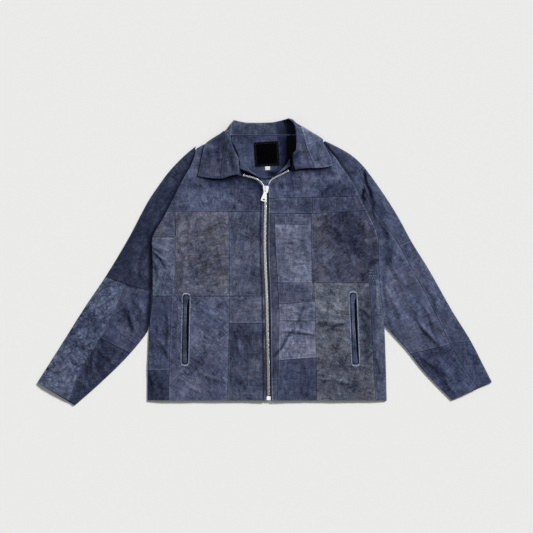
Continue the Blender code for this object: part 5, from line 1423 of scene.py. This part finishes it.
def make_pocket(pocket, pale_thread, dark):
    """A welt in a frame of pale stitches, with a dark opening along its right: a near-black sheet of painted
    shade.
    """
    top = np.array(pocket.top)
    run = np.array(pocket.bottom) - top
    length = float(np.hypot(*run))
    run /= length
    aside = np.array((-run[1], run[0]))
    cloth = cloth_material(pocket.name, pocket.look)

    def lay(points, lift):
        """Points (across, down) as XYZ, lifted off the body."""
        x, y = (top + points[..., :1] * aside + points[..., 1:] * run).T
        return stacked(x.T, y.T, body_top(x, y).T + lift)

    outer = rounded_loop(-WELT, WELT, 0.6, length - 0.6, WELT * 0.8)
    inner = rounded_loop(*FRAME, 6.0, length - 6.6, 4.6)
    grid = np.stack([lay(outer * (1 - share) + inner * share, lift) for share, lift in FRAME_RISE])
    to_stitches = [abs(WELT - share * (WELT + FRAME[0]) - pocket.edging) for share, _ in FRAME_RISE]
    mesh = closed_ring(pocket.name + "_frame", grid, 0.2, np.array(to_stitches)[:, None])
    frame_piece = place(mesh, cloth, pocket.slot, pocket.name)
    grid_area(grid)

    first, last = 6.8, length - 7.4
    down = np.linspace(first, last, 100)[:, None]
    share = np.linspace(0.0, 1.0, 13)[None, :]
    to_end = np.minimum(down - first, last - down)
    drawn_back = MOUTH * smooth(down, 8.0, 36.0) * (1 - 0.5 * smooth(down, 0.45 * length, 0.9 * length))
    drawn_back = drawn_back * smooth(to_end, 0.0, 14.0)
    left_side, right_side = ISLAND[0], ISLAND[1] - drawn_back + 0.35 * noise(down, 0 * down, 17, 33)
    narrowed = np.sqrt(np.clip(1 - (1 - np.clip(to_end / 5.0, 0, 1)) ** 2, 0.03, 1))
    across = (left_side + right_side) / 2 + (2 * share - 1) * (right_side - left_side) / 2 * narrowed
    lift = 0.55 + 0.8 * np.sqrt(np.clip(1 - np.abs(2 * share - 1) ** 5, 0, 1)) * np.sqrt(narrowed)
    island, floor = (lay(stacked(across, down), height)[:, ::-1] for height in (lift, 0.45))
    welt = place(shell_mesh(pocket.name + "_welt", island, floor), cloth, pocket.slot)
    grid_area(island)

    # The mouth: a flat near-black sheet laid in the frame, painted shade for the pocket's opening.
    ring = lay(rounded_loop(FRAME[0] - 0.6, FRAME[1] + 0.6, 5.4, length - 6.0, 4.6), 0.4)
    n = len(ring)
    faces = [tuple(reversed(range(n))), tuple(range(n, 2 * n))]
    faces += [(k, (k + 1) % n, (k + 1) % n + n, k + n) for k in range(n)]
    mouth = make_mesh(pocket.name + "_mouth", np.concatenate([ring, ring - (0, 0, 0.6)]), faces)
    mouth.shade_flat()
    place(mouth, dark, "zip_tape")

    outline = lay(rounded_loop(-pocket.edging, pocket.edging, 2.0, length - 2.0, pocket.edging * 0.85), 0.85)
    outline[:, 0] += 0.7 * noise(outline[:, 1], 0 * outline[:, 1], 13, 34)
    thick = {"across": True, "jitter": 0.35}
    items = stitch_items(np.concatenate([outline, outline[:1]]), 0.75, 2.3, 0.8, 0.6, **thick)
    items = [item for item in items if noise(*item[3][:2], 5, 35) < 0.42 and rng.random() < 0.9]
    turn = np.linspace(-1.1, 1.1, 50)
    for end, way in ((2.0, 0.5), (length - 2.0, -0.5)):
        arc = pocket.edging * stacked(0.94 * np.sin(turn), way * (1 - np.cos(turn))) + (0, end)
        items += stitch_items(lay(arc, 1.0), 0.6, 3.8, 1.0, 0.7, **thick)
    repeated(pocket.name + "_edging", items, pale_thread, "label_white")


HandRow = namedtuple("HandRow", "x1 y1 x2 y2 pitch length width")
HAND_ROWS = [HandRow(*row) for row in (
    # a worn row of stitches beside the left pocket
    (-215, -86, -218, -256, 2.7, 1.9, 0.6),
    # pale rows round the left chest's mud patch
    (-221, 125, -90, 125, 3.4, 2.4, 0.4), (-221, 118, -90, 118, 3.4, 2.4, 0.4),
    (-217, 116, -217, -80, 3.6, 2.4, 0.35),
    # a small darn above the right pocket
    (260, -20, 277, -22, 4.4, 3.2, 0.9), (259, -27, 279, -28, 5.0, 3.4, 0.9),
    (260, -34, 278, -34, 4.7, 3.0, 0.9), (262, -41, 279, -41, 5.2, 3.4, 0.9),
    (261, -48, 276, -47, 4.6, 3.0, 0.9),
)]


def make_hand_stitches(thread):
    items = []
    for row in HAND_ROWS:
        x, y = np.linspace(row.x1, row.x2, 40), np.linspace(row.y1, row.y2, 40)
        path = stacked(x + 0.8 * noise(x, y, 12, 36), y, body_top(x, y) + 0.1)
        items += stitch_items(path, row.pitch, row.length, row.width, 0.4, jitter=0.3)
    repeated("hand_stitches", items, thread, "label_white")


# --- labels ------------------------------------------------------------------------------------
LABEL_TILT = math.radians(3.5)
LABEL_FLOOR = FACING_FLOOR + FACING_WALL + GAP
LABEL_WALL = 0.6
LABEL = (5.5, 270.0)      # its middle
LABEL_HALF = 30.5


def tilted(middle, across, up):
    """Where places on a label lie, as labels lie a little turned."""
    cos, sin = math.cos(LABEL_TILT), math.sin(LABEL_TILT)
    return middle[0] + across * cos - up * sin, middle[1] + across * sin + up * cos


def make_label(name, middle, half_width, half_height, material, slot):
    u, v = np.meshgrid(np.linspace(-1, 1, 25), np.linspace(-1, 1, 25))
    x, y = tilted(middle, u * half_width, v * half_height)
    rim = np.maximum(np.abs(u), np.abs(v))
    outer = stacked(x, y, LABEL_FLOOR + LABEL_WALL - 0.25 * rim ** 8 + 0.12 * noise(x, y, 22, 30))
    mesh = shell_mesh(name + "_cloth", outer, stacked(x, y, LABEL_FLOOR))
    piece = place(mesh, material, slot, name)


def make_labels(black, white, thread, border):
    make_label("neck_label", LABEL, LABEL_HALF, LABEL_HALF, black, "label_black")
    make_label("size_tag", (7.6, 234.0), 6.2, 4.6, white, "label_white")
    rows = (("neck_label_stitches", 1.5, 2.2, 1.7, thread), ("neck_label_border", 4.2, 1.2, 1.9, border))
    for name, inset, pitch, length, material in rows:
        corners = np.array(((-1, -1), (1, -1), (1, 1), (-1, 1), (-1, -1))) * (LABEL_HALF - inset)
        line = np.concatenate([np.linspace(a, b, 40) for a, b in zip(corners[:-1], corners[1:])])
        path = stacked(*tilted(LABEL, *line.T), LABEL_FLOOR + LABEL_WALL + 0.02)
        items = stitch_items(path, pitch=pitch, length=length, width=0.5, height=0.2, jitter=0.05)
        repeated(name, items, material, "label_black")


# --- the shoot ---------------------------------------------------------------------------------
FILL = 0.27               # the world's light on the cloth; what it shows to the camera and to metal is 1
KEY = 4.7
KEY_ELEVATION = 30
KEY_AZIMUTH = 48          # from the jacket's right towards its collar
KEY_ANGLE = 11            # the light's own size in degrees, which softens its shadows
FLOOR_HALF = 25.0         # so wide that its edge is never seen
CAMERA = (0.005, -0.0115, 12.0)
FIELD = 1.3325            # how wide the camera sees at the floor
SENSOR = 36.0


def make_stage():
    corners = [(a * FLOOR_HALF, b * FLOOR_HALF, -0.0002) for a, b in ((-1, -1), (1, -1), (1, 1), (-1, 1))]
    mesh = bpy.data.meshes.new("floor")
    mesh.from_pydata(corners, [], [(0, 1, 2, 3)])
    mesh.materials.append(Nodes("floor").finish(Base_Color=(0.80, 0.80, 0.79, 1.0), Roughness=0.9))
    link("floor", mesh)
    scene = bpy.context.scene
    scene.world = bpy.data.worlds.new("studio")
    scene.world.use_nodes = True
    tree = scene.world.node_tree
    rays = tree.nodes.new("ShaderNodeLightPath")
    seen = rays.outputs["Is Camera Ray"]
    for ray in ("Is Glossy Ray", "Is Transmission Ray"):
        both = tree.nodes.new("ShaderNodeMath")
        both.operation = "MAXIMUM"
        tree.links.new(rays.outputs[ray], both.inputs[0])
        tree.links.new(seen, both.inputs[1])
        seen = both.outputs[0]
    strength = tree.nodes.new("ShaderNodeMapRange")
    tree.links.new(seen, strength.inputs["Value"])
    strength.inputs["To Min"].default_value = FILL
    strength.inputs["To Max"].default_value = 1.0
    tree.links.new(strength.outputs["Result"], tree.nodes["Background"].inputs["Strength"])
    tree.nodes["Background"].inputs["Color"].default_value = (1.0, 1.0, 1.0, 1.0)
    light = bpy.data.lights.new("key", "SUN")
    light.energy = KEY
    light.angle = math.radians(KEY_ANGLE)
    lamp = link("key", light)
    lamp.location = (2.0, 2.0, 2.0)
    lamp.rotation_euler = (0.0, math.radians(90 - KEY_ELEVATION), math.radians(KEY_AZIMUTH))
    scene.view_settings.view_transform = "Standard"
    camera_data = bpy.data.cameras.new("camera")
    camera_data.sensor_width = SENSOR
    camera_data.lens = SENSOR * CAMERA[2] / FIELD
    camera_data.clip_end = 40.0
    scene.camera = link("camera", camera_data)
    scene.camera.location = CAMERA


def main():
    make_stage()
    tape = plain_material("zip_tape", (84, 88, 106), 0.85, 0.3, 1.0, 0.1, toned=True)
    # The left tape is a lighter copy of the tape material: painted light, the left tape lying lit and the
    # right one shaded.
    lit_tape = plain_material("zip_tape_faded", (96, 100, 118), 0.85, 0.3, 1.0, 0.1, toned=True)
    # The lapel tapes' near-black is painted shadow under the collar.
    dark_tape = plain_material("lapel_tape", (4, 4, 8), 0.9, 0.3, 1.0, 0.0)
    metal = plain_material("zip_metal", (240, 242, 244), 0.26, 0.1, 2.0, 0.5, metallic=1.0)
    # Painted shade beside the slider's bridge, and a painted shadow on the teeth under the pull's hole.
    slider_metal = plain_material("zip_slider_metal", (236, 238, 241), 0.26, 0.12, 2.0, 0.5, metallic=1.0,
                                  recess=BESIDE_BRIDGE)
    teeth_metal = plain_material("zip_teeth_metal", (206, 208, 212), 0.3, 0.12, 2.0, 0.5, 0.0001, 1.0,
                                 toned=True, recess=UNDER_PULL_HOLE)
    thread = plain_material("thread", (70, 76, 98), 0.8, 0.3, 0.8, 0.1)
    pale_thread = plain_material("pale_thread", (172, 178, 198), 0.8, 0.3, 0.9, 0.1)
    # near black: painted shade for the pockets' openings
    dark = plain_material("pocket_dark", (8, 8, 13), 0.95, 0.3, 3.0, 0.02)
    black = plain_material("label_black", (3, 3, 5), 0.8, 0.35, 0.8, 0.01)
    border = plain_material("label_border", (60, 62, 68), 0.8, 0.25, 0.8, 0.05)
    white = plain_material("label_white", (220, 220, 216), 0.7, 0.06, 0.8, 0.3, 0.0001)
    make_undersides()
    make_neck_facing()
    make_fronts()
    make_sleeves()
    make_collar()
    make_collar_stands()
    make_collar_back()
    make_lapels(dark_tape)
    make_zip_tapes(lit_tape, tape)
    make_teeth(teeth_metal)
    for pocket in POCKETS:
        make_pocket(pocket, pale_thread, dark)
    make_hand_stitches(pale_thread)
    make_labels(black, white, thread, border)
    make_stitching(thread)
    for node, finish in (("zip_slider", slider_metal), ("zip_pull", metal), ("zip_box", metal)):
        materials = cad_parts[node].data.materials
        materials.clear()
        materials.append(finish)


main()
